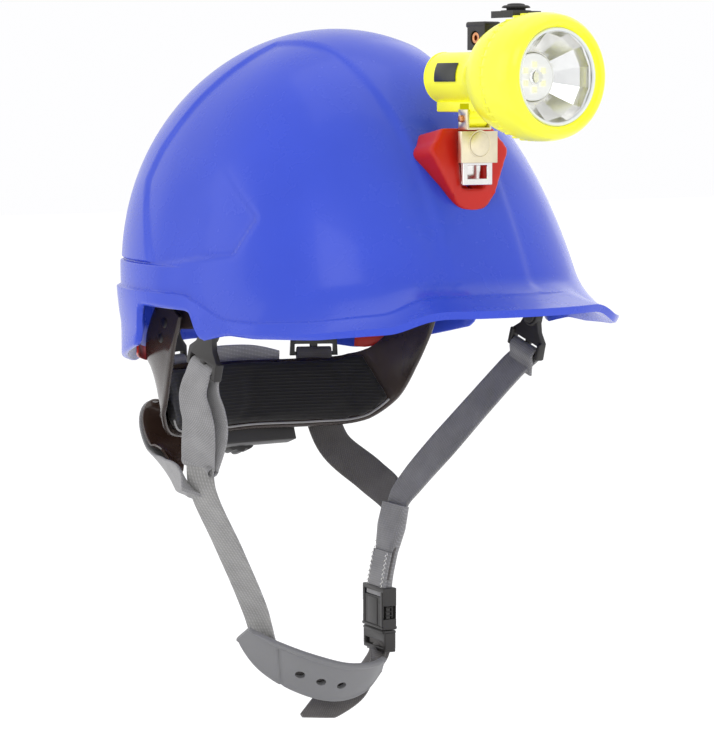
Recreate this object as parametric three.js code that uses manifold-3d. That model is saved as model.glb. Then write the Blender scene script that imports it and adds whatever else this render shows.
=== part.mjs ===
// Miner's safety helmet with a clip-on cap lamp, millimetres, +Z up, front towards -Y.
// The origin is the centre of the rim plane, in the middle of the space for the head.
import * as THREE from 'three';
import { mergeVertices } from 'three/addons/utils/BufferGeometryUtils.js';
import Module from 'manifold-3d';

const wasm = await Module();
wasm.setup();

// ---- Driving dimensions -------------------------------------------------------------------
const SHELL_HALF_WIDTH = 108;
const SHELL_HALF_LENGTH = 126;
const SHELL_HEIGHT = 151.4;
const SHELL_WALL = 3;
const PEAK_REACH = 24;
const RIM_FLARE = 4;
const GAP = 0.35;
const HEAD_HALF_WIDTH = 79;
const HEAD_FRONT_CLEARANCE = 46;
const HEAD_FRONT_Y = HEAD_FRONT_CLEARANCE - SHELL_HALF_LENGTH;
const BAND_WALL = 2;
const HEADBAND_HEIGHT = 32;
const NAPE_HEIGHT = 39;
const NAPE_REAR_Y = 115;
const NAPE_Z = -46;
const NAPE_TILT = 20;
const NAPE_PAD_THICK = 6;
const PAD_GAP = 1.1;
const BROW_PAD_THICK = 3;
const WEB_WIDTH = 20;
const WEB_THICK = 1.8;
const LAMP_AXIS_Z = 127;
const LAMP_REAR_Y = -66;
const LAMP_LENGTH = 95;
const BARREL_RADIUS = 12.5;
const HEAD_RADIUS = 29;
const BEZEL_RADIUS = 30.5;
const HOUSING_WALL = 2.6;
const LENS_RADIUS = 25;
const LENS_THICK = 2.4;
const LED_DISC_RADIUS = 11;
const CELL_RADIUS = 9.2;
const CELL_LENGTH = 48;
const HINGE_Y = -93;
const HINGE_Z = 107;
const HINGE_PIN_RADIUS = 1.6;
const PIN_CLEARANCE = 0.3;
const PLATE_Y = -98;
const PLATE_WIDTH = 22;
const PLATE_TOP_Z = 101;
const PLATE_HEIGHT = 15.5;
const SHEET_STEEL = 1.2;
const TONGUE_WIDTH = 18;
const TONGUE_BOTTOM_Z = 74.7;
const PAD_TIP_Z = 62;
const PAD_TOP_Z = 103;
const PAD_HALF_WIDTH = 24;
const GEAR_MODULE = 1.2;
const GEAR_TEETH = 10;
const RACK_DEPTH = 5;
const KNOB_RADIUS = 15;
const KNOB_DEPTH = 8;
const HOUSING_HALF_LENGTH = 30;
const BUCKLE_SIDE_WALL = 2.5;
const BUCKLE_WIDTH = WEB_WIDTH + 2 * BUCKLE_SIDE_WALL;
const BUCKLE_DEPTH = 8;
const BUCKLE_TOP_Z = -148;
const BUCKLE_SPLIT_Z = -171;
const BUCKLE_TURN = -8;

// ---- Colours ------------------------------------------------------------------------------
const FINISH = {
  shell: [0x4558d1, 0.25, 0],
  red: [0xc0301c, 0.35, 0],
  zinc: [0xc4b58a, 0.35, 0.9],
  steel: [0xd8d4d2, 0.25, 1],
  yellow: [0xfefe3c, 0.3, 0],
  clear: [0xf4f6fa, 0.05, 0],
  mirror: [0xe0ded1, 0.08, 1],
  black: [0x2b2725, 0.5, 0],
  rubber: [0x1d1a18, 0.8, 0],
  smoked: [0x4a3226, 0.3, 0],
  web: [0x94918f, 0.9, 0],
  cup: [0x8a8a8a, 0.6, 0],
  brown: [0x3c3231, 0.4, 0],
  board: [0xf2f0e4, 0.5, 0],
  copper: [0xb8693c, 0.35, 1],
  alloy: [0xa9adb2, 0.4, 1],
};

const model = new THREE.Group();

// ---- Helpers ------------------------------------------------------------------------------
const rad = THREE.MathUtils.degToRad;
const point = (x, y, z) => new THREE.Vector3(x, y, z);
const mirrored = (p) => point(-p.x, p.y, p.z);
const signedPower = (v, p) => Math.sign(v) * Math.abs(v) ** p;

function closedBody(source) {
  const geometry = source.clone();
  geometry.deleteAttribute('normal');
  geometry.deleteAttribute('uv');
  const merged = mergeVertices(geometry, 1e-4);
  const index = Array.from(merged.index.array);
  const at = merged.getAttribute('position');
  const kept = [];
  let volume = 0;
  const a = point(0, 0, 0);
  const b = point(0, 0, 0);
  const c = point(0, 0, 0);
  for (let i = 0; i < index.length; i += 3) {
    const [p, q, r] = [index[i], index[i + 1], index[i + 2]];
    if (p === q || q === r || r === p) continue;
    kept.push(p, q, r);
    a.fromBufferAttribute(at, p);
    b.fromBufferAttribute(at, q);
    c.fromBufferAttribute(at, r);
    volume += a.dot(b.cross(c)) / 6;
  }
  if (volume < 0) kept.reverse();
  merged.setIndex(kept);
  return merged;
}

function toSolid(source) {
  const geometry = closedBody(source);
  const vertProperties = new Float32Array(geometry.getAttribute('position').array);
  const triVerts = new Uint32Array(geometry.index.array);
  return new wasm.Manifold(new wasm.Mesh({ numProp: 3, vertProperties, triVerts }));
}

function fromSolid(solid) {
  const mesh = solid.getMesh();
  const geometry = new THREE.BufferGeometry();
  geometry.setAttribute('position', new THREE.BufferAttribute(new Float32Array(mesh.vertProperties), 3));
  geometry.setIndex(Array.from(mesh.triVerts));
  return geometry;
}

const union = (first, ...rest) => fromSolid(rest.reduce((s, g) => s.add(toSolid(g)), toSolid(first)));
const cut = (first, ...rest) => fromSolid(rest.reduce((s, g) => s.subtract(toSolid(g)), toSolid(first)));

function addPart(name, geometry, finish, parent = model) {
  const [color, roughness, metalness] = FINISH[finish];
  const material = new THREE.MeshStandardMaterial({ color, roughness, metalness });
  const mesh = new THREE.Mesh(closedBody(geometry), material);
  mesh.name = name;
  parent.add(mesh);
  return mesh;
}

function box(width, depth, height, x = 0, y = 0, z = 0) {
  return new THREE.BoxGeometry(width, depth, height).translate(x, y, z);
}

function rod(axis, radius, length, x = 0, y = 0, z = 0, sides = 20) {
  const geometry = new THREE.CylinderGeometry(radius, radius, length, sides);
  if (axis === 'x') geometry.rotateZ(Math.PI / 2);
  if (axis === 'z') geometry.rotateX(Math.PI / 2);
  return geometry.translate(x, y, z);
}

function lathe(points, segments = 36) {
  const profile = points.map(([radius, along]) => new THREE.Vector2(radius, along));
  return new THREE.LatheGeometry(profile, segments);
}

function plate(outline, thickness, holes = []) {
  const corners = outline.map(([x, y]) => new THREE.Vector2(x, y));
  if (THREE.ShapeUtils.isClockWise(corners)) corners.reverse();
  const shape = new THREE.Shape(corners);
  holes.forEach((hole) => shape.holes.push(hole));
  return new THREE.ExtrudeGeometry(shape, { depth: thickness, bevelEnabled: false, curveSegments: 12 });
}

function roundHole(x, y, radius) {
  return new THREE.Path().absarc(x, y, radius, 0, Math.PI * 2, true);
}

function slotHole(x, y, width, height) {
  const [w, h] = [width / 2, height / 2];
  const corners = [[-w, -h], [-w, h], [w, h], [w, -h]];
  return new THREE.Path(corners.map(([u, v]) => new THREE.Vector2(x + u, y + v)));
}

function between(table, value) {
  if (value <= table[0][0]) return table[0][1];
  for (let i = 1; i < table.length; i += 1) {
    const [from, low] = table[i - 1];
    const [to, high] = table[i];
    if (value <= to) return low + ((high - low) * (value - from)) / (to - from);
  }
  return table[table.length - 1][1];
}

// A flat band swept along a smooth curve. wide gives the direction of its width at each point.
function ribbon({ points, wide, width, low, high, steps, from = 0, to = 1 }) {
  const curve = new THREE.CatmullRomCurve3(points, false, 'centripetal');
  const frames = [];
  for (let i = 0; i <= steps; i += 1) {
    const u = from + ((to - from) * i) / steps;
    const tangent = curve.getTangent(u);
    const place = u * (wide.length - 1);
    const first = Math.min(Math.floor(place), wide.length - 2);
    const across = wide[first].clone().lerp(wide[first + 1], place - first);
    across.addScaledVector(tangent, -across.dot(tangent)).normalize();
    const face = tangent.clone().cross(across);
    const wideness = typeof width === 'function' ? width(u) : width;
    frames.push({ centre: curve.getPoint(u), across, face, wideness });
  }
  const geometry = new THREE.BoxGeometry(1, 1, steps, 1, 1, steps);
  const at = geometry.getAttribute('position');
  for (let i = 0; i < at.count; i += 1) {
    const { centre, across, face, wideness } = frames[Math.round(at.getZ(i) + steps / 2)];
    const out = low + (high - low) * (at.getY(i) + 0.5);
    const moved = centre.clone().addScaledVector(across, at.getX(i) * wideness).addScaledVector(face, out);
    at.setXYZ(i, moved.x, moved.y, moved.z);
  }
  return geometry;
}

// ---- Shell --------------------------------------------------------------------------------
// Superellipse sections that shrink and lean back with height, and turn outwards at the rim.
const PLAN_POWER = 2.3;
const DOME_POWER = 2.02;
const LEAN_START = 6.5;
const LEAN_RISE = 55;
const LEAN_FALL = -35;
const KNEE_Z = 30;
const FLARE_POWER = 2.2;
const PEAK_POWER = 2.4;
const DOME_ROWS = 9;
const RIM_ROWS = 4;
const EVEN_COLUMNS = 52;
// Height of the rim's edge for each place from front to rear, in shares of the half length.
const ARCH_TOP = 14;
const RIM_LINE = [
  [-0.95, 16], [-0.89, 9], [-0.71, 5], [-0.47, 3], [-0.27, 0], [-0.17, -1], [-0.14, ARCH_TOP - 2],
  [-0.1, ARCH_TOP], [0.24, ARCH_TOP], [0.28, 9], [0.32, -7], [0.81, -22], [0.91, -19], [0.98, -14],
];
const COLUMN_STOPS = [-0.27, -0.17, -0.14, -0.1, 0.24, 0.28, 0.32];

const planY = (angle) => signedPower(Math.sin(angle), 2 / PLAN_POWER);
const rimHeight = (angle) => between(RIM_LINE, planY(angle));

function domeLean(z) {
  const share = z / SHELL_HEIGHT;
  return LEAN_START + LEAN_RISE * share + LEAN_FALL * share ** 2;
}

function shellSurface(angle, z) {
  const share = Math.min(Math.max(z / SHELL_HEIGHT, 0), 1);
  const shrink = (1 - share ** DOME_POWER) ** (1 / DOME_POWER);
  const rimZ = rimHeight(angle);
  const drop = Math.max((KNEE_Z - z) / (KNEE_Z - rimZ), 0);
  const ahead = Math.max(-Math.sin(angle), 0) ** PEAK_POWER;
  const flare = (RIM_FLARE + PEAK_REACH * ahead) * drop ** FLARE_POWER;
  const x = SHELL_HALF_WIDTH * shrink * signedPower(Math.cos(angle), 2 / PLAN_POWER);
  const y = SHELL_HALF_LENGTH * shrink * planY(angle);
  const reach = Math.hypot(x, y) || 1;
  return point(x * (1 + flare / reach), domeLean(z) + y * (1 + flare / reach), z);
}

function shellNormal(angle, z) {
  const turn = 0.02;
  const step = 0.4;
  const around = shellSurface(angle + turn, z).sub(shellSurface(angle - turn, z));
  const upward = shellSurface(angle, z + step).sub(shellSurface(angle, z - step));
  return around.cross(upward).normalize();
}

function shellOffset(angle, z, inward) {
  return shellSurface(angle, z).addScaledVector(shellNormal(angle, z), -inward);
}

function shellAngles() {
  const angles = [];
  for (let i = 0; i < EVEN_COLUMNS; i += 1) angles.push((i / EVEN_COLUMNS) * 2 * Math.PI - Math.PI / 2);
  COLUMN_STOPS.forEach((share) => {
    const angle = Math.asin(signedPower(share, PLAN_POWER / 2));
    angles.push(angle, Math.PI - angle);
  });
  return angles.sort((a, b) => a - b);
}

function shellHeights(angle) {
  const heights = [];
  const knee = Math.acos(KNEE_Z / SHELL_HEIGHT);
  for (let i = 1; i <= DOME_ROWS; i += 1) heights.push(SHELL_HEIGHT * Math.cos((knee * i) / DOME_ROWS));
  for (let i = 1; i <= RIM_ROWS; i += 1) heights.push(KNEE_Z + ((rimHeight(angle) - KNEE_Z) * i) / RIM_ROWS);
  return heights;
}

// A closed wall between two offsets of the shell's surface; a solid dome when inner is null.
function shellWall(outer, inner) {
  const angles = shellAngles();
  const rows = DOME_ROWS + RIM_ROWS;
  const count = inner === null ? rows + 2 : 2 * rows + 2;
  const profile = Array.from({ length: count }, () => new THREE.Vector2(1, 1));
  const geometry = new THREE.LatheGeometry(profile, angles.length);
  const at = geometry.getAttribute('position');
  const top = domeLean(SHELL_HEIGHT);
  for (let column = 0; column <= angles.length; column += 1) {
    const angle = angles[column % angles.length];
    const heights = shellHeights(angle);
    const line = [point(0, top, SHELL_HEIGHT - outer)];
    heights.forEach((z) => line.push(shellOffset(angle, z, outer)));
    if (inner === null) {
      line.push(point(0, top, 0));
    } else {
      heights.reverse().forEach((z) => line.push(shellOffset(angle, z, inner)));
      line.push(point(0, top, SHELL_HEIGHT - inner));
    }
    line.forEach((p, row) => at.setXYZ(column * count + row, p.x, p.y, p.z));
  }
  return geometry;
}

addPart('shell', shellWall(0, SHELL_WALL), 'shell');

// Red edge strips inside the rim, between each side arch and the rear hooks.
const LINER_WALL = 1;
const LINER_HEIGHT = 7;
const LINER_LIFT = 5;
const LINER_GAP = 1.3;
const LINER_SPAN = [30, 54];
const LINER_STEPS = 8;
const upright = [point(0, 0, 1), point(0, 0, 1)];
const linerLine = [];
for (let i = 0; i <= LINER_STEPS; i += 1) {
  const angle = rad(LINER_SPAN[0] + ((LINER_SPAN[1] - LINER_SPAN[0]) * i) / LINER_STEPS);
  linerLine.push(shellOffset(angle, rimHeight(angle) + LINER_LIFT, SHELL_WALL + LINER_GAP));
}
const liner = { wide: upright, width: LINER_HEIGHT, steps: 2 * LINER_STEPS };
addPart('rim_liner_left', ribbon({ points: linerLine, ...liner, low: -LINER_WALL, high: 0 }), 'red');
addPart('rim_liner_right', ribbon({ points: linerLine.map(mirrored), ...liner, low: 0, high: LINER_WALL }), 'red');

// ---- Lamp bracket on the front of the shell -----------------------------------------------
const PAD_FRONT_Y = -92;
const PAD_MID_Z = 84.5;
const PAD_LEAN = 10.5;
const PAD_DEPTH = 46;
const CHANNEL_WIDTH = PLATE_WIDTH + 3;
const CHANNEL_DEPTH = 3.4;
const POCKET_DEPTH = 5;
const POCKET_BOTTOM_Z = 73;
const padOutline = new THREE.Shape();
padOutline.moveTo(-4, PAD_TIP_Z - PAD_MID_Z);
padOutline.quadraticCurveTo(0, PAD_TIP_Z - PAD_MID_Z - 1, 4, PAD_TIP_Z - PAD_MID_Z);
padOutline.quadraticCurveTo(9, PAD_TIP_Z - PAD_MID_Z + 1, 12, PAD_TIP_Z - PAD_MID_Z + 6);
padOutline.lineTo(PAD_HALF_WIDTH - 2, PAD_TOP_Z - PAD_MID_Z - 15);
padOutline.quadraticCurveTo(PAD_HALF_WIDTH + 2, 8, PAD_HALF_WIDTH - 4, PAD_TOP_Z - PAD_MID_Z - 6);
padOutline.lineTo(16, PAD_TOP_Z - PAD_MID_Z);
padOutline.lineTo(-16, PAD_TOP_Z - PAD_MID_Z);
padOutline.lineTo(4 - PAD_HALF_WIDTH, PAD_TOP_Z - PAD_MID_Z - 6);
padOutline.quadraticCurveTo(-PAD_HALF_WIDTH - 2, 8, 2 - PAD_HALF_WIDTH, PAD_TOP_Z - PAD_MID_Z - 15);
padOutline.lineTo(-12, PAD_TIP_Z - PAD_MID_Z + 6);
padOutline.quadraticCurveTo(-9, PAD_TIP_Z - PAD_MID_Z + 1, -4, PAD_TIP_Z - PAD_MID_Z);
const padBlock = new THREE.ExtrudeGeometry(padOutline, { depth: PAD_DEPTH, bevelEnabled: false, curveSegments: 5 });
padBlock.rotateX(Math.PI / 2).translate(0, PAD_DEPTH, 0);
padBlock.rotateX(-rad(PAD_LEAN)).translate(0, PAD_FRONT_Y, PAD_MID_Z);
const channelFloorY = PLATE_Y + SHEET_STEEL + CHANNEL_DEPTH;
const tongueY = PLATE_Y + SHEET_STEEL + GAP;
const channel = box(CHANNEL_WIDTH, 20, 60, 0, channelFloorY - 10, PAD_TOP_Z - 24);
const pocket = box(TONGUE_WIDTH - 4, 8, 60, 0, channelFloorY + POCKET_DEPTH - 4, POCKET_BOTTOM_Z + 30);
const padDome = shellWall(-GAP, null);
addPart('bracket_pad', cut(padBlock, channel, pocket, padDome), 'red');

// ---- Clip that slides down into the bracket -----------------------------------------------
const FLANGE_DEPTH = 2.6;
const EMBOSS_RADIUS = 6;
const EMBOSS_RISE = 0.5;
const plateMidZ = PLATE_TOP_Z - PLATE_HEIGHT / 2;
const flangeX = PLATE_WIDTH / 2 - SHEET_STEEL / 2;
const flangeY = PLATE_Y + SHEET_STEEL / 2 + FLANGE_DEPTH / 2;
addPart('clip_plate', union(
  box(PLATE_WIDTH, SHEET_STEEL, PLATE_HEIGHT, 0, PLATE_Y + SHEET_STEEL / 2, plateMidZ),
  box(SHEET_STEEL, FLANGE_DEPTH, PLATE_HEIGHT, flangeX, flangeY, plateMidZ),
  box(SHEET_STEEL, FLANGE_DEPTH, PLATE_HEIGHT, -flangeX, flangeY, plateMidZ),
  rod('y', EMBOSS_RADIUS, SHEET_STEEL, 0, PLATE_Y + SHEET_STEEL / 2 - EMBOSS_RISE, plateMidZ + 1.5, 28),
), 'zinc');
const tongueTop = PLATE_TOP_Z - 1;
const tongueHeight = tongueTop - TONGUE_BOTTOM_Z;
addPart('clip_tongue', cut(
  box(TONGUE_WIDTH, SHEET_STEEL, tongueHeight, 0, tongueY + SHEET_STEEL / 2, tongueTop - tongueHeight / 2),
  box(12, 4, 6.5, 0, tongueY, TONGUE_BOTTOM_Z + 6.4),
), 'steel');
const springY = channelFloorY + POCKET_DEPTH - 2;
const springBottom = POCKET_BOTTOM_Z + 2;
const springTop = PLATE_TOP_Z - 1;
const springHeight = springTop - springBottom;
const tongueBack = tongueY + SHEET_STEEL + GAP;
const linkLength = springY - tongueBack + SHEET_STEEL / 2;
addPart('clip_spring', union(
  box(TONGUE_WIDTH - 6, SHEET_STEEL, springHeight, 0, springY, springBottom + springHeight / 2),
  box(TONGUE_WIDTH - 6, linkLength, SHEET_STEEL, 0, tongueBack + linkLength / 2, springTop - SHEET_STEEL / 2),
), 'steel');

const CHEEK_GAP = 6.2;
const CHEEK_DEPTH = 7.6;
const cheekY = HINGE_Y - 0.9;
const cheek = (end) => box(SHEET_STEEL, CHEEK_DEPTH, 10, end * (CHEEK_GAP + SHEET_STEEL / 2), cheekY, HINGE_Z - 0.4);
addPart('hinge_bracket', cut(
  union(
    cheek(1),
    cheek(-1),
    box(2 * CHEEK_GAP + 0.4, CHEEK_DEPTH, SHEET_STEEL, 0, cheekY, HINGE_Z - 5.4 + SHEET_STEEL / 2),
  ),
  rod('x', HINGE_PIN_RADIUS + PIN_CLEARANCE / 3, 30, 0, HINGE_Y, HINGE_Z),
), 'zinc');
addPart('hinge_pin', union(
  rod('x', HINGE_PIN_RADIUS, 2 * CHEEK_GAP + 5, 0, HINGE_Y, HINGE_Z),
  rod('x', HINGE_PIN_RADIUS + 1.2, 1.2, CHEEK_GAP + SHEET_STEEL + 0.6 + GAP, HINGE_Y, HINGE_Z),
), 'steel');

// ---- Lamp, drawn along +Y from its rear end and turned to face the front -------------------
const lamp = new THREE.Group();
lamp.position.set(0, LAMP_REAR_Y, LAMP_AXIS_Z);
lamp.rotation.x = Math.PI;
model.add(lamp);

const CONE_START = 32;
const CONE_END = 52;
const NECK_START = 70;
const FRONT_EDGE = 86;
const NECK_RADIUS = BEZEL_RADIUS - 3.3;
const CAVITY_RADIUS = NECK_RADIUS - HOUSING_WALL;
const boreRadius = BARREL_RADIUS - HOUSING_WALL;
const hingeAlong = LAMP_REAR_Y - HINGE_Y;
const hingeDown = LAMP_AXIS_Z - HINGE_Z;
const LUG_WIDTH = 2 * (CHEEK_GAP - GAP);
const housingTurned = lathe([
  [0, 0], [BARREL_RADIUS - 5, 0], [BARREL_RADIUS - 1.6, 1.6], [BARREL_RADIUS, 5], [BARREL_RADIUS, CONE_START],
  [BARREL_RADIUS + 2.4, CONE_START + 5], [BARREL_RADIUS + 8, CONE_START + 11], [HEAD_RADIUS - 2.6, CONE_END - 1],
  [HEAD_RADIUS, CONE_END + 5], [HEAD_RADIUS, NECK_START], [NECK_RADIUS, NECK_START],
  [NECK_RADIUS, FRONT_EDGE], [CAVITY_RADIUS, FRONT_EDGE], [CAVITY_RADIUS, CONE_END + 6],
  [boreRadius, CONE_END + 1], [boreRadius, 3], [0, 3],
], 40);
const LUG_START = 4;
const lugLength = 32;
addPart('lamp_housing', cut(
  union(
    housingTurned,
    box(LUG_WIDTH, lugLength, 5.4, 0, LUG_START + lugLength / 2, BARREL_RADIUS + 1.6),
    rod('x', 4.2, LUG_WIDTH, 0, hingeAlong, hingeDown, 20),
    box(LUG_WIDTH, 8.4, hingeDown - BARREL_RADIUS, 0, hingeAlong, (hingeDown + BARREL_RADIUS) / 2),
  ),
  rod('y', boreRadius, 30, 0, 20, 0, 40),
  rod('x', HINGE_PIN_RADIUS + PIN_CLEARANCE, 30, 0, hingeAlong, hingeDown),
), 'yellow', lamp);

const CELL_START = 5;
const cellEnd = CELL_START + CELL_LENGTH;
addPart('battery_cell', lathe([
  [0, CELL_START], [CELL_RADIUS, CELL_START], [CELL_RADIUS, cellEnd - 1], [3, cellEnd - 1],
  [3, cellEnd], [0, cellEnd],
], 24), 'alloy', lamp);
addPart('battery_spring', lathe([
  [0, 3.3], [7, 3.3], [7, 3.9], [4, CELL_START - GAP], [0, CELL_START - GAP],
], 18), 'copper', lamp);
const boardAt = cellEnd + 4;
addPart('driver_board', rod('y', CAVITY_RADIUS - 0.6, 1.6, 0, boardAt + 2.2, 0, 32), 'black', lamp);
const sinkAt = boardAt + 5;
addPart('heat_sink', lathe([
  [0, sinkAt], [CAVITY_RADIUS - 0.6, sinkAt], [CAVITY_RADIUS - 0.6, sinkAt + 3], [10, sinkAt + 3],
  [10, sinkAt + 10], [0, sinkAt + 10],
], 32), 'alloy', lamp);
const ledAt = sinkAt + 10 + GAP;
addPart('led_board', rod('y', LED_DISC_RADIUS, 1.6, 0, ledAt + 0.8, 0, 32), 'board', lamp);
addPart('led_dome', lathe([
  [0, ledAt + 1.6 + GAP], [4, ledAt + 1.6 + GAP], [3.4, ledAt + 3.4], [1.8, ledAt + 4.4], [0, ledAt + 4.6],
], 20), 'clear', lamp);
const reflectorTop = FRONT_EDGE + 1.6;
addPart('reflector', lathe([
  [LED_DISC_RADIUS + GAP, ledAt], [LED_DISC_RADIUS + GAP + 1, ledAt - 0.6], [16.5, ledAt + 1.6],
  [20.6, ledAt + 6.4], [CAVITY_RADIUS - 0.6, reflectorTop - 1.2], [CAVITY_RADIUS - 0.6, reflectorTop],
  [22.6, reflectorTop], [19.2, ledAt + 6.8], [15.4, ledAt + 2.6], [LED_DISC_RADIUS + GAP, ledAt],
], 36), 'mirror', lamp);
const gasketAt = FRONT_EDGE + GAP;
addPart('lens_gasket', lathe([
  [CAVITY_RADIUS + 0.2, gasketAt], [NECK_RADIUS - 0.3, gasketAt], [NECK_RADIUS - 0.3, gasketAt + 1.4],
  [CAVITY_RADIUS + 0.2, gasketAt + 1.4], [CAVITY_RADIUS + 0.2, gasketAt],
], 36), 'rubber', lamp);
const lensAt = gasketAt + 1.4 + GAP;
addPart('lens', rod('y', LENS_RADIUS, LENS_THICK, 0, lensAt + LENS_THICK / 2, 0, 40), 'clear', lamp);
const lipAt = lensAt + LENS_THICK + GAP;
addPart('bezel_ring', lathe([
  [NECK_RADIUS + GAP, NECK_START + GAP], [BEZEL_RADIUS - 1, NECK_START + GAP],
  [BEZEL_RADIUS, NECK_START + 3], [BEZEL_RADIUS, LAMP_LENGTH - 7],
  [BEZEL_RADIUS - 2, LAMP_LENGTH - 2], [BEZEL_RADIUS - 4.5, LAMP_LENGTH], [LENS_RADIUS - 0.6, LAMP_LENGTH - 1],
  [LENS_RADIUS - 1.8, LAMP_LENGTH - 3], [LENS_RADIUS - 1.8, lipAt], [NECK_RADIUS + GAP, lipAt],
  [NECK_RADIUS + GAP, NECK_START + GAP],
], 40), 'yellow', lamp);

// Controls along the top of the lamp: up is -Z in the lamp's own frame.
const SWITCH_AT = 60;
const SWITCH_RADIUS = 7;
const deckZ = -HEAD_RADIUS - GAP;
addPart('switch_base', cut(
  box(17, 17, 3.6, 0, SWITCH_AT, deckZ - 0.2),
  lathe([[0, 0], [HEAD_RADIUS + GAP, 0], [HEAD_RADIUS + GAP, 90], [0, 90]], 40),
  rod('z', SWITCH_RADIUS - 2.2, 12, 0, SWITCH_AT, deckZ),
), 'black', lamp);
const buttonBase = deckZ - 2 - 1.5;
addPart('switch_button', new THREE.LatheGeometry([
  new THREE.Vector2(0, 0), new THREE.Vector2(SWITCH_RADIUS, 0), new THREE.Vector2(SWITCH_RADIUS - 0.6, 1.2),
  new THREE.Vector2(SWITCH_RADIUS - 2.6, 1.9), new THREE.Vector2(0, 2.3),
], 24).rotateX(-Math.PI / 2).translate(0, SWITCH_AT, buttonBase), 'rubber', lamp);
const SOCKET_AT = 35;
const socketTop = -BARREL_RADIUS - 14;
const socketBlock = box(10, 14, 13, 0, SOCKET_AT, -BARREL_RADIUS - 7.2);
addPart('charge_socket', cut(
  socketBlock,
  lathe([[0, -5], [BARREL_RADIUS + GAP, -5], [BARREL_RADIUS + GAP, CONE_START],
    [BARREL_RADIUS + 2.4 + GAP, CONE_START + 4.7], [BARREL_RADIUS + 8.6, CONE_START + 10.8], [0, CONE_START + 10.8]], 40),
  rod('x', 3.4, 30, 0, SOCKET_AT - 1, socketTop + 7.5),
), 'black', lamp);
addPart('charge_contact', rod('x', 3, 9, 0, SOCKET_AT - 1, socketTop + 7.5, 20), 'copper', lamp);
const LABEL_LENGTH = 17;
const LABEL_ARC = 42;
const LABEL_AT = 12;
const LABEL_TURN = -12;
const labelShape = new THREE.Shape();
labelShape.absarc(0, 0, BARREL_RADIUS + 0.7, rad(-LABEL_ARC / 2), rad(LABEL_ARC / 2), false);
labelShape.absarc(0, 0, BARREL_RADIUS + GAP, rad(LABEL_ARC / 2), rad(-LABEL_ARC / 2), true);
const labelBlock = new THREE.ExtrudeGeometry(labelShape, { depth: LABEL_LENGTH, bevelEnabled: false, curveSegments: 5 });
addPart('label_plate', labelBlock.rotateX(-Math.PI / 2).rotateY(Math.PI + rad(LABEL_TURN)).translate(0, LABEL_AT, 0), 'black', lamp);

// ---- Headband, brow pad and crown straps --------------------------------------------------
const HEADBAND_END_Y = 66;
const HEADBAND_FRONT_Z = 24;
const HEADBAND_END_Z = 13;
const headbandPoints = [];
const HEADBAND_TURN = 2.5;
const bandCentreY = 12;
for (let i = 0; i <= 22; i += 1) {
  const angle = rad(38 - (256 * i) / 22);
  const reach = Math.sin(angle) > 0 ? (HEADBAND_END_Y - bandCentreY) / Math.sin(rad(38)) ** (2 / HEADBAND_TURN)
    : bandCentreY - HEAD_FRONT_Y;
  const x = angle > 0 || angle < -Math.PI ? signedPower(Math.cos(angle), 0.12) * HEAD_HALF_WIDTH
    : signedPower(Math.cos(angle), 2 / HEADBAND_TURN) * HEAD_HALF_WIDTH;
  const y = bandCentreY + reach * signedPower(Math.sin(angle), 2 / HEADBAND_TURN);
  const rise = (y - HEAD_FRONT_Y) / (HEADBAND_END_Y - HEAD_FRONT_Y);
  headbandPoints.push(point(x, y, HEADBAND_FRONT_Z + (HEADBAND_END_Z - HEADBAND_FRONT_Z) * rise));
}
addPart('headband', ribbon({
  points: headbandPoints, wide: upright, width: HEADBAND_HEIGHT, low: -BAND_WALL / 2, high: BAND_WALL / 2, steps: 44,
}), 'brown');
addPart('brow_pad', ribbon({
  points: headbandPoints, wide: upright, width: HEADBAND_HEIGHT - 3,
  low: BAND_WALL / 2 + GAP, high: BAND_WALL / 2 + GAP + BROW_PAD_THICK, steps: 22, from: 0.3, to: 0.7,
}), 'rubber');

const CROWN_TOP_Z = 112;
const CROWN_STEP = WEB_THICK + 0.8;
const CROWN_END_Z = 26;
const crownFront = point(67, -68, CROWN_END_Z);
const crownRear = point(70, 86, CROWN_END_Z);
const CLIP = { thick: 5.4, width: 24, height: 16 };
[1, -1].forEach((hand, index) => {
  const start = point(hand * crownFront.x, crownFront.y, CROWN_END_Z);
  const end = point(-hand * crownRear.x, crownRear.y, CROWN_END_Z);
  const middle = start.clone().lerp(end, 0.5);
  const half = end.clone().sub(middle);
  const heading = half.clone().normalize();
  const across = point(-heading.y, heading.x, 0);
  const rise = CROWN_TOP_Z - CROWN_END_Z - index * CROWN_STEP;
  const points = [];
  for (let i = 0; i <= 12; i += 1) {
    const angle = Math.PI * (1 - i / 12);
    const place = middle.clone().addScaledVector(half, Math.cos(angle));
    points.push(place.setZ(CROWN_END_Z + rise * Math.sin(angle)));
  }
  addPart(`crown_strap_${index + 1}`, ribbon({
    points, wide: [across, across], width: WEB_WIDTH, low: 0, high: WEB_THICK, steps: 24,
  }), 'web');
  [start, end].forEach((foot, place) => {
    const clip = box(CLIP.thick, CLIP.width, CLIP.height).rotateZ(Math.atan2(heading.y, heading.x));
    clip.translate(foot.x, foot.y, CROWN_END_Z - CLIP.height / 2 - GAP);
    addPart(`crown_clip_${index * 2 + place + 1}`, clip, 'smoked');
  });
});

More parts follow.
